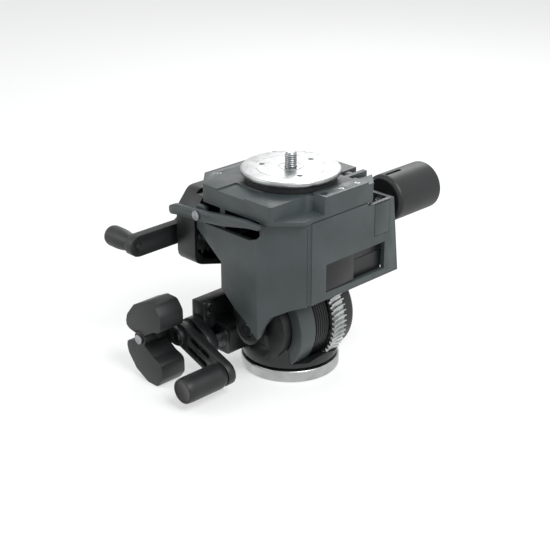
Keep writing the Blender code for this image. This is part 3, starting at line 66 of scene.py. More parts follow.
def startMaterial(name, hexText, roughness, metallic=0.0, coat=0.0):
    material = bpy.data.materials.new(name)
    material.use_nodes = True
    tree = material.node_tree
    shader = tree.nodes["Principled BSDF"]
    shader.inputs["Base Color"].default_value = linearColour(hexText)
    shader.inputs["Roughness"].default_value = roughness
    shader.inputs["Metallic"].default_value = metallic
    shader.inputs["Coat Weight"].default_value = coat
    place = addNode(tree, "ShaderNodeTexCoord").outputs["Object"]
    return material, tree, shader, place


def vary(tree, shader, place, first, second, size, socket="Base Color"):
    # a slow drift between two values over patches of the given size
    noise = addNode(tree, "ShaderNodeTexNoise", {"Vector": place}, {"Scale": 1 / size, "Detail": 3.0})
    if socket == "Base Color":
        ramp = addNode(tree, "ShaderNodeValToRGB", {"Fac": noise.outputs["Fac"]})
        ramp.color_ramp.elements[0].position = 0.3
        ramp.color_ramp.elements[1].position = 0.7
        ramp.color_ramp.elements[0].color = linearColour(first)
        ramp.color_ramp.elements[1].color = linearColour(second)
        tree.links.new(ramp.outputs["Color"], shader.inputs[socket])
    else:
        spread = addNode(tree, "ShaderNodeMapRange", {"Value": noise.outputs["Fac"]},
                         {"From Min": 0.3, "From Max": 0.7, "To Min": first, "To Max": second})
        tree.links.new(spread.outputs["Result"], shader.inputs[socket])


def grain(tree, shader, place, size, depth, strength=1.0):
    # a fine pebbled surface, from the grain's width and height
    noise = addNode(tree, "ShaderNodeTexNoise", {"Vector": place}, {"Scale": 1 / size, "Detail": 2.0})
    bump = addNode(tree, "ShaderNodeBump", {"Height": noise.outputs["Fac"]},
                   {"Distance": depth, "Strength": strength})
    tree.links.new(bump.outputs["Normal"], shader.inputs["Normal"])


# Cast aluminium with satin slate lacquer: a soft sheen and a barely pebbled skin
def satinLacquer(name, dark, light, roughness=0.4):
    material, tree, shader, place = startMaterial(name, light, roughness)
    vary(tree, shader, place, dark, light, 26 * mm)
    vary(tree, shader, place, roughness - 0.05, roughness + 0.06, 9 * mm, "Roughness")
    grain(tree, shader, place, 0.55 * mm, 0.045 * mm)
    return material


# Moulded ABS: a matt black with a fine spark-eroded texture
def mouldedPlastic(name, dark, light, roughness=0.46):
    material, tree, shader, place = startMaterial(name, light, roughness)
    vary(tree, shader, place, dark, light, 14 * mm)
    grain(tree, shader, place, 0.8 * mm, 0.06 * mm)
    return material


# Aluminium faced on a lathe: fine rings round its own axis that stretch the highlights
def facedAluminium(name, centre, axis, dark="#9da0a0", light="#b3b6b5", spacing=0.9 * mm):
    material, tree, shader, place = startMaterial(name, light, 0.3, 1.0)
    moved = addNode(tree, "ShaderNodeMapping", {"Vector": place})
    moved.inputs["Location"].default_value = [-c for c in centre]
    rings = addNode(tree, "ShaderNodeTexWave", {"Vector": moved.outputs["Vector"]},
                    {"Scale": 2 * pi / (20 * spacing), "Distortion": 0.4, "Detail": 1.0, "Detail Scale": 2.0},
                    wave_type="RINGS", rings_direction=axis)
    bump = addNode(tree, "ShaderNodeBump", {"Height": rings.outputs["Fac"]},
                   {"Distance": 0.012 * mm, "Strength": 0.8})
    tree.links.new(bump.outputs["Normal"], shader.inputs["Normal"])
    vary(tree, shader, place, dark, light, 12 * mm)
    vary(tree, shader, place, 0.24, 0.38, 7 * mm, "Roughness")
    return material


# Turned steel: bright, with slight stains
def turnedSteel(name, dark="#8d9092", light="#b4b7b8", roughness=0.28):
    material, tree, shader, place = startMaterial(name, light, roughness, 1.0)
    vary(tree, shader, place, dark, light, 5 * mm)
    grain(tree, shader, place, 0.3 * mm, 0.01 * mm)
    return material


# Finishes of this head
slateLacquer = satinLacquer("slate_satin_lacquer", "#2e3535", "#384041", 0.42)
slateLever = satinLacquer("slate_lever_lacquer", "#333a3b", "#3d4546", 0.38)
blackLacquer = satinLacquer("black_satin_lacquer", "#0c0e0f", "#131617", 0.38)
blackAbs = mouldedPlastic("black_moulded_abs", "#0d0f10", "#141718")
glossAbs = mouldedPlastic("black_polished_abs", "#08090a", "#0e1011", 0.26)
# the plate's own black enamel, also used as painted shade in the screw sockets
plateBlackAndSocketShade = satinLacquer("black_plate_enamel_and_socket_shade", "#070809", "#0c0e0f", 0.32)
discAluminium = facedAluminium("faced_aluminium_disc", (0, 0, 0), "Z")
wheelAluminium = facedAluminium("hobbed_aluminium_wheel", (0, 0, 43 * mm), "Y", "#a3a7a7", "#c6c9c8",
                                1.6 * mm)
steel = turnedSteel("turned_steel")
darkSteel = turnedSteel("blackened_steel", "#3a3d3f", "#55595b", 0.34)
bronze = turnedSteel("bearing_bronze", "#5c4a2c", "#77623d", 0.4)
blackened = turnedSteel("blackened_bronze", "#141516", "#202224", 0.5)
ringRubber = mouldedPlastic("dark_ring_rubber", "#0a0b0c", "#131516", 0.7)
print("materials made")


def placeMesh(name, mesh, material, body, slotName, *nodes):
    piece = mesh if isinstance(mesh, bpy.types.Object) else bpy.data.objects.new(name, mesh)
    piece.name = name
    if piece.name not in scene.collection.objects:
        scene.collection.objects.link(piece)
    if material:
        piece.data.materials.clear()
        piece.data.materials.append(material)
    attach(piece, body)
    if nodes:
        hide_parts(*nodes)
    return piece


def bakeModifiers(piece):
    # turns the piece and its live modifiers into a plain mesh
    graph = bpy.context.evaluated_depsgraph_get()
    graph.update()
    mesh = bpy.data.meshes.new_from_object(piece.evaluated_get(graph), depsgraph=graph)
    piece.modifiers.clear()
    old = piece.data
    piece.data = mesh
    bpy.data.meshes.remove(old)
    return piece


def onAxis(axis, along, u, v):
    return {"X": (along, u, v), "Y": (u, along, v), "Z": (u, v, along)}[axis]


def spunShape(profile, axis, centre, sides, closed=False):
    # rings of (radius, place along the axis), joined into a closed skin
    shape = bmesh.new()
    rows = []
    for radius, along in profile:
        if radius < 1e-6 and not closed:
            rows.append([shape.verts.new(onAxis(axis, along, *centre))])
            continue
        turns = [2 * pi * i / sides for i in range(sides)]
        rows.append([shape.verts.new(onAxis(axis, along, centre[0] + radius * cos(turn),
                                            centre[1] + radius * sin(turn))) for turn in turns])
    pairs = list(zip(rows, rows[1:]))
    if closed:
        pairs.append((rows[-1], rows[0]))
    for near, far in pairs:
        for i in range(sides):
            j = (i + 1) % sides
            corners = [near[i % len(near)], near[j % len(near)], far[j % len(far)], far[i % len(far)]]
            distinct = []
            for corner in corners:
                if corner not in distinct:
                    distinct.append(corner)
            if len(distinct) > 2:
                shape.faces.new(distinct)
    if not closed:
        for row in (rows[0], rows[-1]):
            if len(row) > 1:
                shape.faces.new(row)
    bmesh.ops.recalc_face_normals(shape, faces=shape.faces)
    return shape


def toMesh(name, shape, sharp=32):
    mesh = bpy.data.meshes.new(name)
    shape.to_mesh(mesh)
    shape.free()
    mesh.shade_smooth()
    mesh.set_sharp_from_angle(angle=radians(sharp))
    return mesh


def softProfile(points, radius, steps=4):
    # rounds the corners of a (radius, along) profile; a point may carry its own radius
    out = []
    for i, point in enumerate(points):
        here = Vector(point[:2])
        size = point[2] if len(point) > 2 else radius
        if i in (0, len(points) - 1) or size <= 0:
            out.append(tuple(here))
            continue
        before = Vector(points[i - 1][:2]) - here
        after = Vector(points[i + 1][:2]) - here
        reach = min(size, before.length * 0.45, after.length * 0.45)
        first = here + before.normalized() * reach
        last = here + after.normalized() * reach
        for k in range(steps + 1):
            t = k / steps
            out.append(tuple(first.lerp(here, t).lerp(here.lerp(last, t), t)))
    return out


def spunPiece(name, profile, axis, centre, sides, material, body, slotName, *nodes, closed=False, sharp=32):
    mesh = toMesh(name, spunShape(profile, axis, centre, sides, closed), sharp)
    return placeMesh(name, mesh, material, body, slotName, *nodes)


def dressedNode(name, node, material, body, slotName, edge, segments=2, angle=34):
    # the CAD node's own shape with its edges broken, as casting, moulding and deburring leave them
    shape = bmesh.new()
    shape.from_mesh(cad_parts[node].data)
    bmesh.ops.remove_doubles(shape, verts=shape.verts, dist=0.002 * mm)
    bmesh.ops.dissolve_limit(shape, angle_limit=radians(1), verts=shape.verts, edges=shape.edges)
    mesh = bpy.data.meshes.new(name)
    shape.to_mesh(mesh)
    shape.free()
    mesh.shade_smooth()
    piece = bpy.data.objects.new(name, mesh)
    scene.collection.objects.link(piece)
    bevel = piece.modifiers.new("brokenEdges", "BEVEL")
    bevel.width = edge
    bevel.segments = segments
    bevel.limit_method = "ANGLE"
    bevel.angle_limit = radians(angle)
    bevel.harden_normals = False
    bakeModifiers(piece)
    piece.data.shade_smooth()
    piece.data.set_sharp_from_angle(angle=radians(38))
    return placeMesh(name, piece, material, body, slotName, node)


def cutAway(piece, *shapes):
    # takes shapes out of a piece, with an exact Boolean that is applied at once
    tools = []
    for shape in shapes:
        mesh = bpy.data.meshes.new("cutter")
        shape.to_mesh(mesh)
        shape.free()
        tool = bpy.data.objects.new("cutter", mesh)
        scene.collection.objects.link(tool)
        step = piece.modifiers.new("cut", "BOOLEAN")
        step.operation = "DIFFERENCE"
        step.solver = "EXACT"
        step.object = tool
        tools.append(tool)
    bakeModifiers(piece)
    for tool in tools:
        bpy.data.objects.remove(tool)
    piece.data.shade_smooth()
    piece.data.set_sharp_from_angle(angle=radians(32))
    return piece


def blockShape(low, high):
    shape = bmesh.new()
    bmesh.ops.create_cube(shape, size=1.0)
    size = Vector(high) - Vector(low)
    middle = (Vector(high) + Vector(low)) / 2
    matrix = Matrix.Translation(middle) @ Matrix.Diagonal((*size, 1.0))
    bmesh.ops.transform(shape, matrix=matrix, verts=shape.verts)
    return shape


# Geometry Nodes: screw heads on points, and a screw thread along a helix

def newTree(name, inputs):
    tree = bpy.data.node_groups.new(name, "GeometryNodeTree")
    tree.interface.new_socket("Geometry", in_out="INPUT", socket_type="NodeSocketGeometry")
    for label, kind, value in inputs:
        socket = tree.interface.new_socket(label, in_out="INPUT", socket_type=kind)
        if value is not None:
            socket.default_value = value
    tree.interface.new_socket("Geometry", in_out="OUTPUT", socket_type="NodeSocketGeometry")
    return tree, tree.nodes.new("NodeGroupInput"), tree.nodes.new("NodeGroupOutput")


def screwHeadTree():
    tree, given, result = newTree("screwHeads", [
        ("Head radius", "NodeSocketFloat", 2.4 * mm), ("Head height", "NodeSocketFloat", 1.2 * mm),
        ("Socket radius", "NodeSocketFloat", 1.2 * mm), ("Turn", "NodeSocketVector", (0, 0, 0)),
        ("Head material", "NodeSocketMaterial", None), ("Socket shade material", "NodeSocketMaterial", None)])
    parts = []
    # the socket is a black hexagon just proud of the head: painted shade standing in for the socket's hollow
    for radius, sides, lift, finish in (("Head radius", 28, 0.0, "Head material"),
                                        ("Socket radius", 6, 0.03 * mm, "Socket shade material")):
        shape = addNode(tree, "GeometryNodeMeshCylinder", {"Radius": given.outputs[radius],
                                                           "Depth": given.outputs["Head height"]},
                        {"Vertices": sides})
        moved = addNode(tree, "GeometryNodeTransform", {"Geometry": shape.outputs["Mesh"]})
        moved.inputs["Translation"].default_value = (0, 0, lift)
        painted = addNode(tree, "GeometryNodeSetMaterial", {"Geometry": moved.outputs["Geometry"],
                                                            "Material": given.outputs[finish]})
        parts.append(painted.outputs["Geometry"])
    joined = addNode(tree, "GeometryNodeJoinGeometry")
    for part in parts:
        tree.links.new(part, joined.inputs["Geometry"])
    copies = addNode(tree, "GeometryNodeInstanceOnPoints", {"Points": given.outputs["Geometry"],
                                                            "Instance": joined.outputs["Geometry"],
                                                            "Rotation": given.outputs["Turn"]})
    real = addNode(tree, "GeometryNodeRealizeInstances", {"Geometry": copies.outputs["Instances"]})
    smooth = addNode(tree, "GeometryNodeSetShadeSmooth", {"Geometry": real.outputs["Geometry"]},
                     {"Shade Smooth": False})
    tree.links.new(smooth.outputs["Geometry"], result.inputs["Geometry"])
    return tree


def threadTree():
    tree, given, result = newTree("screwThread", [
        ("Pitch", "NodeSocketFloat", 1.5875 * mm), ("Turns", "NodeSocketFloat", 7.0),
        ("Radius", "NodeSocketFloat", 4.2 * mm), ("Ridge", "NodeSocketFloat", 0.6 * mm),
        ("Foot", "NodeSocketVector", (0, 0, 0)), ("Metal", "NodeSocketMaterial", None)])
    height = addNode(tree, "ShaderNodeMath", operation="MULTIPLY")
    tree.links.new(given.outputs["Pitch"], height.inputs[0])
    tree.links.new(given.outputs["Turns"], height.inputs[1])
    helix = addNode(tree, "GeometryNodeCurveSpiral", {"Rotations": given.outputs["Turns"],
                                                      "Start Radius": given.outputs["Radius"],
                                                      "End Radius": given.outputs["Radius"],
                                                      "Height": height.outputs[0]}, {"Resolution": 36})
    ridge = addNode(tree, "GeometryNodeCurvePrimitiveCircle", {"Radius": given.outputs["Ridge"]},
                    {"Resolution": 5}, mode="RADIUS")
    thread = addNode(tree, "GeometryNodeCurveToMesh",
                     {"Curve": helix.outputs["Curve"], "Profile Curve": ridge.outputs["Curve"]},
                     {"Fill Caps": True})
    moved = addNode(tree, "GeometryNodeTransform", {"Geometry": thread.outputs["Mesh"],
                                                    "Translation": given.outputs["Foot"]})
    joined = addNode(tree, "GeometryNodeJoinGeometry")
    tree.links.new(moved.outputs["Geometry"], joined.inputs["Geometry"])
    tree.links.new(given.outputs["Geometry"], joined.inputs["Geometry"])
    real = addNode(tree, "GeometryNodeRealizeInstances", {"Geometry": joined.outputs["Geometry"]})
    painted = addNode(tree, "GeometryNodeSetMaterial", {"Geometry": real.outputs["Geometry"],
                                                        "Material": given.outputs["Metal"]})
    tree.links.new(painted.outputs["Geometry"], result.inputs["Geometry"])
    return tree


def runTree(piece, tree, values):
    step = piece.modifiers.new(tree.name, "NODES")
    step.node_group = tree
    sockets = {item.name: item.identifier for item in tree.interface.items_tree if item.in_out == "INPUT"}
    for label, value in values.items():
        step[sockets[label]] = value
    return bakeModifiers(piece)


def pointCloud(name, points):
    mesh = bpy.data.meshes.new(name)
    mesh.from_pydata([tuple(p) for p in points], [], [])
    piece = bpy.data.objects.new(name, mesh)
    scene.collection.objects.link(piece)
    return piece


screwHeads = screwHeadTree()
screwThread = threadTree()


def screwSet(name, body, nodes, turn, radius, height, socketRadius, head=None):
    # one head on each of the CAD screws' outer ends
    points = []
    for node in nodes:
        low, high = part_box(node)
        middle = (low + high) / 2
        if turn[1]:
            middle.x = high.x - height / 2
        else:
            middle.z = high.z - height / 2
        points.append(middle)
    piece = pointCloud(name, points)
    # each head gets a black hexagon of painted shade where its socket's hollow is
    runTree(piece, screwHeads, {"Head radius": radius, "Head height": height, "Socket radius": socketRadius,
                                "Turn": turn, "Head material": head or steel, "Socket shade material": plateBlackAndSocketShade})
    return placeMesh(name, piece, None, body, "bright_steel", *nodes)


# Base and drum

baseDisc = {"radius": 40 * mm, "height": 9.7 * mm, "edge": 1.4 * mm, "recess": 1.0 * mm,
            "recessInner": 13 * mm, "recessOuter": 34 * mm, "thread": 4.76 * mm,
            "threadDepth": 7 * mm, "seat": 12.3 * mm, "seatDepth": 1.2 * mm, "sides": 160}


def makeBase():
    d = baseDisc
    floor = d["height"] - d["seatDepth"]
    profile = softProfile([(0.0, d["threadDepth"]), (d["thread"], d["threadDepth"], 0), (d["thread"], 0, 0),
                           (d["recessInner"], 0, 0), (d["recessInner"], d["recess"], 0),
                           (d["recessOuter"], d["recess"], 0), (d["recessOuter"], 0, 0),
                           (d["radius"], 0, d["edge"]), (d["radius"], d["height"], d["edge"]),
                           (d["seat"], d["height"], 0), (d["seat"], floor, 0), (0.0, floor)], 0)
    spunPiece("baseDisc", profile, "Z", (0, 0), d["sides"], discAluminium, "base", "machined_silver",
              "base_disc")


drum = {"axisHeight": 43 * mm, "sides": 180, "skirt": 15.7 * mm, "boxTop": 39.9 * mm, "grooves": 7,
        "grooveDepth": 1.3 * mm, "inner": 29.3 * mm, "band": 39.4 * mm, "grooved": 38.0 * mm,
        "cheek": 39.0 * mm, "bandEdge": mm, "cheekEdge": 0.6 * mm, "cheekRound": 5 * mm, "reach": 60 * mm}


def drumRing(name, node, profile, material, slotName):
    ring = toMesh(name, spunShape(profile, "Y", (0, drum["axisHeight"]), drum["sides"], True), 28)
    piece = bpy.data.objects.new(name, ring)
    scene.collection.objects.link(piece)
    wide = drum["reach"]
    cutAway(piece, blockShape((-wide, -wide, -wide), (wide, wide, drum["skirt"])),
            blockShape((-wide, -wide, -wide), (0, wide, drum["boxTop"])))
    return placeMesh(name, piece, material, "pan_body", slotName, node)


def makeDrum():
    inner = drum["inner"]
    low, high = (c.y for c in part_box("drum_band"))
    outer, edge = drum["band"], drum["bandEdge"]
    band = softProfile([(inner, low), (outer, low, edge), (outer, high, edge), (inner, high)], 0)
    drumRing("drumBand", "drum_band", band, slateLacquer, "satin_slate")
    low, high = (c.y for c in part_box("groove_ring"))
    outer = drum["grooved"]
    pitch = (high - low) / drum["grooves"]
    profile = [(inner, low)]
    for i in range(drum["grooves"]):
        start = low + i * pitch
        for share, drop in ((0.05, 0.25), (0.15, 0), (0.5, 0), (0.6, 0.5), (0.72, 1), (0.85, 1), (0.97, 0.5)):
            profile.append((outer - drop * drum["grooveDepth"], start + share * pitch))
    profile.append((inner, high))
    drumRing("grooveRing", "groove_ring", profile, blackLacquer, "satin_black")
    low, high = (c.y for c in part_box("drum_cheek"))
    outer = drum["cheek"]
    cheek = softProfile([(inner, low), (outer, low, drum["cheekEdge"]), (outer, high, drum["cheekRound"]),
                         (inner, high)], 0, 8)
    drumRing("drumCheek", "drum_cheek", cheek, blackLacquer, "satin_black")


# Top disc, its ring and the camera screw

topDisc = {"radius": 39 * mm, "low": 161.9 * mm, "top": 167 * mm, "bevel": 1.8 * mm, "hole": 5.06 * mm,
           "sides": 180, "screwHole": 2.3 * mm, "ringInner": 12 * mm, "ringRadius": 36 * mm,
           "ringLow": 157.3 * mm, "ringTop": 161.6 * mm, "ringEdge": 0.5 * mm,
           "arcRadius": 27 * mm, "arcWidth": 0.5 * mm, "arcDepth": 0.35 * mm, "boss": 9.5 * mm,
           "arcs": ((115, 190), (235, 310), (355, 430))}


def arcShape(radius, width, low, high, start, end):
    # a bent bar between two angles, that cuts an engraved line
    shape = bmesh.new()
    steps = 24
    rows = []
    for k in range(steps + 1):
        angle = radians(start + (end - start) * k / steps)
        rows.append([shape.verts.new((r * cos(angle), r * sin(angle), z)) for r, z in (
            (radius - width, low), (radius + width, low), (radius + width, high), (radius - width, high))])
    for near, far in zip(rows, rows[1:]):
        for i in range(4):
            j = (i + 1) % 4
            shape.faces.new((near[i], near[j], far[j], far[i]))
    shape.faces.new(rows[0])
    shape.faces.new(rows[-1])
    bmesh.ops.recalc_face_normals(shape, faces=shape.faces)
    return shape


def makeTop():
    d = topDisc
    profile = softProfile([(d["hole"], d["low"]), (d["radius"] - d["bevel"], d["low"], 0),
                           (d["radius"], d["low"] + d["bevel"], 0.8 * mm), (d["radius"], d["top"], d["bevel"]),
                           (d["boss"] + 0.4 * mm, d["top"], 0), (d["boss"], d["top"] - 0.35 * mm, 0),
                           (d["boss"] - 0.6 * mm, d["top"] - 0.35 * mm, 0), (d["boss"] - mm, d["top"], 0),
                           (d["hole"], d["top"])], 0, 6)
    mesh = toMesh("topDisc", spunShape(profile, "Z", (0, 0), d["sides"], True))
    piece = bpy.data.objects.new("topDisc", mesh)
    scene.collection.objects.link(piece)
    holes = []
    for node in ("set_screw_back", "set_screw_left", "set_screw_right"):
        low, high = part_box(node)
        holes.append(spunShape([(d["screwHole"], d["low"] - mm), (d["screwHole"], d["top"] + mm)], "Z",
                               ((low.x + high.x) / 2, (low.y + high.y) / 2), 32))
    arcs = [arcShape(d["arcRadius"], d["arcWidth"] / 2, d["top"] - d["arcDepth"], d["top"] + mm, *span)
            for span in d["arcs"]]
    cutAway(piece, *holes, *arcs)
    placeMesh("topDisc", piece, discAluminium, "platform", "machined_silver", "top_disc")
    ring = softProfile([(d["ringInner"], d["ringLow"]), (d["ringRadius"], d["ringLow"], d["ringEdge"]),
                        (d["ringRadius"], d["ringTop"], d["ringEdge"]), (d["ringInner"], d["ringTop"])], 0)
    spunPiece("discRing", ring, "Z", (0, 0), 144, ringRubber, "platform", "dark_rubber", "disc_ring",
              closed=True)
    screwSet("setScrews", "platform", ("set_screw_back", "set_screw_left", "set_screw_right"), (0, 0, 0),
             2 * mm, 4.6 * mm, 1 * mm, darkSteel)


cameraScrew = {"radius": 4.76 * mm, "root": 4.1 * mm, "pitch": 1.5875 * mm, "top": 179 * mm, "head": 9 * mm,
               "headLow": 157.3 * mm, "headHigh": 160.3 * mm, "ridge": 0.62 * mm, "threadFoot": 161.5 * mm,
               "threadStop": 1.4 * mm, "sides": 64}


def makeCameraScrew():
    d = cameraScrew
    profile = [(0.0, d["headLow"]), (d["head"], d["headLow"]), (d["head"], d["headHigh"]),
               (d["root"], d["headHigh"]), (d["root"], d["top"] - 0.8 * mm), (d["root"] - 0.7 * mm, d["top"]),
               (0.0, d["top"])]
    mesh = toMesh("cameraScrew", spunShape(profile, "Z", (0, 0), d["sides"]))
    piece = bpy.data.objects.new("cameraScrew", mesh)
    scene.collection.objects.link(piece)
    turns = (d["top"] - d["threadStop"] - d["threadFoot"]) / d["pitch"]
    runTree(piece, screwThread, {"Pitch": d["pitch"], "Turns": turns, "Radius": d["radius"] - d["ridge"],
                                 "Ridge": d["ridge"], "Foot": (0, 0, d["threadFoot"]), "Metal": steel})
    placeMesh("cameraScrew", piece, None, "platform", "bright_steel", "camera_screw")


# Knob and handles

liftKnob = {"centre": (33 * mm, 130.5 * mm), "front": 70.5 * mm, "back": 121 * mm, "radius": 19.5 * mm,
            "endRound": 7 * mm, "sides": 160, "slots": 2, "slotHalf": 1.6 * mm, "slotDepth": 1.4 * mm,
            "slotLow": 74 * mm, "slotHigh": 92 * mm, "overrun": 3 * mm}


def makeKnob():
    d = liftKnob
    r = d["radius"]
    profile = softProfile([(0.0, d["front"]), (r - 3 * mm, d["front"], mm),
                           (r, d["front"] + 2.4 * mm, 1.5 * mm), (r, d["back"], d["endRound"]),
                           (r - 5 * mm, d["back"], 0.8 * mm),
                           (r - 6 * mm, d["back"] - 0.9 * mm, 0.6 * mm), (0.0, d["back"] - 0.9 * mm)], 0, 8)
    mesh = toMesh("liftKnob", spunShape(profile, "Y", d["centre"], d["sides"]))
    piece = bpy.data.objects.new("liftKnob", mesh)
    scene.collection.objects.link(piece)
    x, z = d["centre"]
    slots = []
    for k in range(d["slots"]):
        # a shallow slot near the body, and its twin on the far side
        slot = blockShape((-d["slotHalf"], d["slotLow"], r - d["slotDepth"]),
                          (d["slotHalf"], d["slotHigh"], r + d["overrun"]))
        turn = Matrix.Translation((x, 0, z)) @ Matrix.Rotation(2 * pi * k / d["slots"], 4, "Y")
        bmesh.ops.transform(slot, matrix=turn, verts=slot.verts)
        slots.append(slot)
    cutAway(piece, *slots)
    placeMesh("liftKnob", piece, blackAbs, "lift_knob", "black_plastic", "lift_knob")


panHandle = {"centre": (3 * mm, 17 * mm), "back": -79.3 * mm, "length": 39 * mm, "radius": 10.4 * mm,
             "bore": 3.3 * mm, "room": 8 * mm, "sides": 96}


def makeHandles():
    d = panHandle
    r = d["radius"]
    front = d["back"] - d["length"]
    floor = front + d["room"]
    profile = softProfile([(d["bore"], floor), (r - 2.2 * mm, floor, 0), (r - 2.2 * mm, front, 0.4 * mm),
                           (r - 0.6 * mm, front, 0.6 * mm), (r, front + 4 * mm, 2 * mm),
                           (r, d["back"] - 4 * mm, 2 * mm), (r - 1.4 * mm, d["back"], 0.8 * mm),
                           (d["bore"], d["back"])], 0, 5)
    spunPiece("panHandle", profile, "Y", d["centre"], d["sides"], blackAbs, "pan_grip", "black_plastic",
              "pan_handle", closed=True)
    cap = [(0.0, front + 1.2 * mm), (r - 4 * mm, front + 1.2 * mm), (r - 2.5 * mm, front + 0.4 * mm),
           (r - 2.5 * mm, front + 2.3 * mm), (0.0, front + 2.3 * mm)]
    spunPiece("panHandleCap", cap, "Y", d["centre"], d["sides"], glossAbs, "pan_grip", "satin_black",
              "pan_handle_cap")


tiltHandle = {"centre": (-89 * mm, 103 * mm), "right": -86.6 * mm, "length": 27 * mm, "radius": 8.6 * mm,
              "neck": 6.4 * mm, "bore": 2.9 * mm, "room": 6.5 * mm, "roomRadius": 4.4 * mm, "sides": 96}


def makeTiltHandle():
    d = tiltHandle
    left = d["right"] - d["length"]
    floor = left + d["room"]
    profile = softProfile([(d["bore"], floor), (d["roomRadius"], floor, 0), (d["roomRadius"], left, 0.4 * mm),
                           (d["radius"] - mm, left, mm), (d["radius"], left + 3 * mm, 2 * mm),
                           (d["radius"], left + d["length"] * 0.55, 4 * mm), (d["neck"], d["right"], 0.6 * mm),
                           (d["bore"], d["right"])], 0, 6)
    spunPiece("tiltHandle", profile, "X", d["centre"], d["sides"], blackAbs, "tilt_grip", "black_plastic",
              "tilt_handle", closed=True)


makeBase()
makeDrum()
print("base and drum made")
makeTop()
makeCameraScrew()
makeKnob()
makeHandles()
makeTiltHandle()
print("discs, screw, knob and handles made")

# Cast, pressed and moulded pieces, from their solids, with the edge each maker leaves
edgeTable = (
    ("casingShell", "casing", slateLacquer, "tilt_body", "satin_slate", 0.8 * mm),
    ("sidePanel", "side_panel", slateLacquer, "tilt_body", "satin_slate", 0.35 * mm),
    ("labelPlate", "label_plate", plateBlackAndSocketShade, "tilt_body", "satin_black", 0.2 * mm),
    ("gearCase", "gear_case", blackLacquer, "tilt_body", "satin_black", 3.0 * mm),
    ("tiltFrame", "tilt_frame", blackLacquer, "tilt_body", "satin_black", 0.5 * mm),
    ("releaseLever", "release_lever", slateLever, "release_lever", "satin_slate", 0.9 * mm),
    ("platformSlab", "platform_slab", slateLacquer, "platform", "satin_slate", 0.7 * mm),
    ("panHousing", "pan_housing", blackLacquer, "pan_body", "satin_black", 0.8 * mm),
    ("gearCover", "gear_cover", blackLacquer, "pan_body", "satin_black", 0.8 * mm),
    ("panCrankArm", "pan_crank_arm", blackAbs, "pan_crank", "black_plastic", 0.8 * mm),
    ("pinchPlate", "pinch_plate", blackAbs, "pan_crank", "black_plastic", 0.6 * mm),
    ("pinchLeverUpper", "pinch_lever_upper", blackAbs, "pinch_upper", "black_plastic", 2.0 * mm),
    ("pinchLeverLower", "pinch_lever_lower", blackAbs, "pinch_lower", "black_plastic", 2.0 * mm),
    ("tiltCrankArm", "tilt_crank_arm", blackAbs, "tilt_crank", "black_plastic", 1.0 * mm),
)
for name, node, material, body, slotName, edge in edgeTable:
    dressedNode(name, node, material, body, slotName, edge, 3 if edge > mm else 2)
    print("dressed", name)

# Black sheets close behind the window beside the plate, above and below the inner frame, are painted shade for
# the dark inside of the casing
windowShadeSheet = {"x": (46.4 * mm, 47.2 * mm), "y": (-12 * mm, 54 * mm), "low": (79 * mm, 96.6 * mm),
                "high": (102.4 * mm, 107 * mm), "edge": 0.2 * mm}


def makeWindowShadeSheet():
    d = windowShadeSheet
    # each sheet is a black block standing in for the shade seen through the window
    for name, (low, high) in (("windowShadeSheetLow", d["low"]), ("windowShadeSheetHigh", d["high"])):
        shape = blockShape((d["x"][0], d["y"][0], low), (d["x"][1], d["y"][1], high))
        bmesh.ops.bevel(shape, geom=shape.edges[:], offset=d["edge"], segments=2, affect="EDGES")
        placeMesh(name, toMesh(name, shape), blackLacquer, "tilt_body", "satin_black")


makeWindowShadeSheet()
print("window screen made")

slabScrewNodes = ("slab_screw_front", "slab_screw_back", "slab_screw_left_front", "slab_screw_left_back")
screwSet("slabScrews", "platform", slabScrewNodes, (0, 0, 0), 2.3 * mm, 1.6 * mm, 1.2 * mm)
bracketScrewNodes = ("bracket_screw_top", "bracket_screw_middle", "bracket_screw_low")
screwSet("bracketScrews", "pan_body", bracketScrewNodes, (0, pi / 2, 0), 2.4 * mm, 1.4 * mm, 1.2 * mm)
print("screws made")

# Machined nodes keep their own shape and get their metal
nodeFinish = {
    "tilt_worm_wheel": wheelAluminium, "pan_worm_wheel": bronze, "thrust_washer": blackened,
    "tilt_idler_gear": bronze, "lift_sector": blackened, "pivot_post": steel, "post_nut": steel,
    "pan_worm_cap": darkSteel, "tilt_shaft": darkSteel, "pan_worm_shaft": steel, "pan_worm_gear": steel,
    "pan_crank_shaft": darkSteel, "pan_pinion": steel, "pan_handle_pin": steel,
    "pinch_pin": steel, "lever_pin": steel, "tilt_worm_shaft": steel,
    "tilt_worm_gear": steel, "tilt_idler_pin": steel, "tilt_crank_shaft": darkSteel, "tilt_crank_gear": steel,
    "tilt_handle_pin": steel, "hinge_pin": steel, "lift_worm_shaft": steel,
}
for node, material in nodeFinish.items():
    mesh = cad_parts[node].data
    mesh.materials.clear()
    mesh.materials.append(material)
    for face in mesh.polygons:
        face.material_index = 0

# Floor, lights and camera
studio = {"floorColour": "#f4f5f5", "floorGlow": 0.45, "worldStrength": 0.62,
          "key": ((0.75, -0.10, 0.95), 0.55, 10.0), "fill": ((-0.55, -0.85, 0.65), 0.7, 3.2),
          "rim": ((-0.5, 0.75, 0.8), 0.5, 4.0), "floorSize": 4.0, "floorDrop": 0.2 * mm, "aim": (0, 0, 0.09),
          "lens": 82.77, "cameraPlace": (0.64636, -0.65549, 0.48464),
          "cameraLook": (-0.6502, 0.6422, -0.4061)}


def addAreaLight(name, place, size, power):
    data = bpy.data.lights.new(name, "AREA")
    data.size = size
    data.energy = power
    light = bpy.data.objects.new(name, data)
    light.location = place
    light.rotation_euler = (Vector(studio["aim"]) - Vector(place)).to_track_quat("-Z", "Y").to_euler()
    scene.collection.objects.link(light)


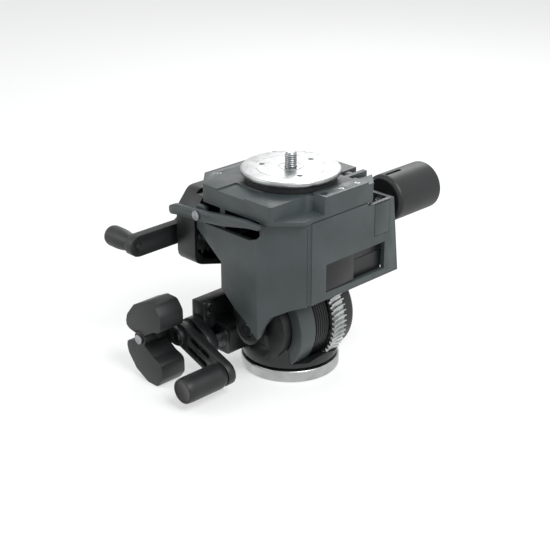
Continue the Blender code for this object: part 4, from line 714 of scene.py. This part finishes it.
def makeStudio():
    d = studio
    shape = bmesh.new()
    bmesh.ops.create_grid(shape, x_segments=1, y_segments=1, size=d["floorSize"])
    floor = bpy.data.objects.new("floor", toMesh("floor", shape))
    floor.data.transform(Matrix.Translation((0, 0, -d["floorDrop"])))
    scene.collection.objects.link(floor)
    paper, tree, shader, place = startMaterial("pale_paper", d["floorColour"], 0.9)
    path = addNode(tree, "ShaderNodeLightPath")
    glow = addNode(tree, "ShaderNodeEmission", {}, {"Color": (1, 1, 1, 1), "Strength": 1.0})
    sharp = addNode(tree, "ShaderNodeMath", operation="MAXIMUM")
    tree.links.new(path.outputs["Is Glossy Ray"], sharp.inputs[0])
    tree.links.new(path.outputs["Is Transmission Ray"], sharp.inputs[1])
    # a little of the glow is seen straight on, so that the far floor stays white and the shadow shows
    seen = addNode(tree, "ShaderNodeMath", operation="MULTIPLY_ADD")
    tree.links.new(path.outputs["Is Camera Ray"], seen.inputs[0])
    seen.inputs[1].default_value = d["floorGlow"]
    tree.links.new(sharp.outputs[0], seen.inputs[2])
    mix = addNode(tree, "ShaderNodeMixShader", {"Fac": seen.outputs[0]})
    tree.links.new(shader.outputs["BSDF"], mix.inputs[1])
    tree.links.new(glow.outputs["Emission"], mix.inputs[2])
    tree.links.new(mix.outputs["Shader"], tree.nodes["Material Output"].inputs["Surface"])
    floor.data.materials.append(paper)

    world = bpy.data.worlds.new("studioWorld")
    scene.world = world
    world.use_nodes = True
    tree = world.node_tree
    backdrop = tree.nodes["Background"]
    backdrop.inputs["Color"].default_value = (1, 1, 1, 1)
    path = addNode(tree, "ShaderNodeLightPath")
    seen = addNode(tree, "ShaderNodeMath", operation="MAXIMUM")
    tree.links.new(path.outputs["Is Camera Ray"], seen.inputs[0])
    tree.links.new(path.outputs["Is Glossy Ray"], seen.inputs[1])
    both = addNode(tree, "ShaderNodeMath", operation="MAXIMUM")
    tree.links.new(seen.outputs[0], both.inputs[0])
    tree.links.new(path.outputs["Is Transmission Ray"], both.inputs[1])
    strength = addNode(tree, "ShaderNodeMapRange", {"Value": both.outputs[0]},
                       {"To Min": d["worldStrength"], "To Max": 1.0})
    tree.links.new(strength.outputs["Result"], backdrop.inputs["Strength"])

    for name in ("key", "fill", "rim"):
        place, size, power = d[name]
        addAreaLight(name + "Light", place, size, power)

    data = bpy.data.cameras.new("camera")
    data.lens = d["lens"]
    data.sensor_width = 36
    data.clip_start = 0.05
    data.clip_end = 20
    camera = bpy.data.objects.new("camera", data)
    camera.location = d["cameraPlace"]
    camera.rotation_euler = Vector(d["cameraLook"]).to_track_quat("-Z", "Y").to_euler()
    scene.collection.objects.link(camera)
    scene.camera = camera
    scene.view_settings.view_transform = "Standard"


makeStudio()
print("studio made")
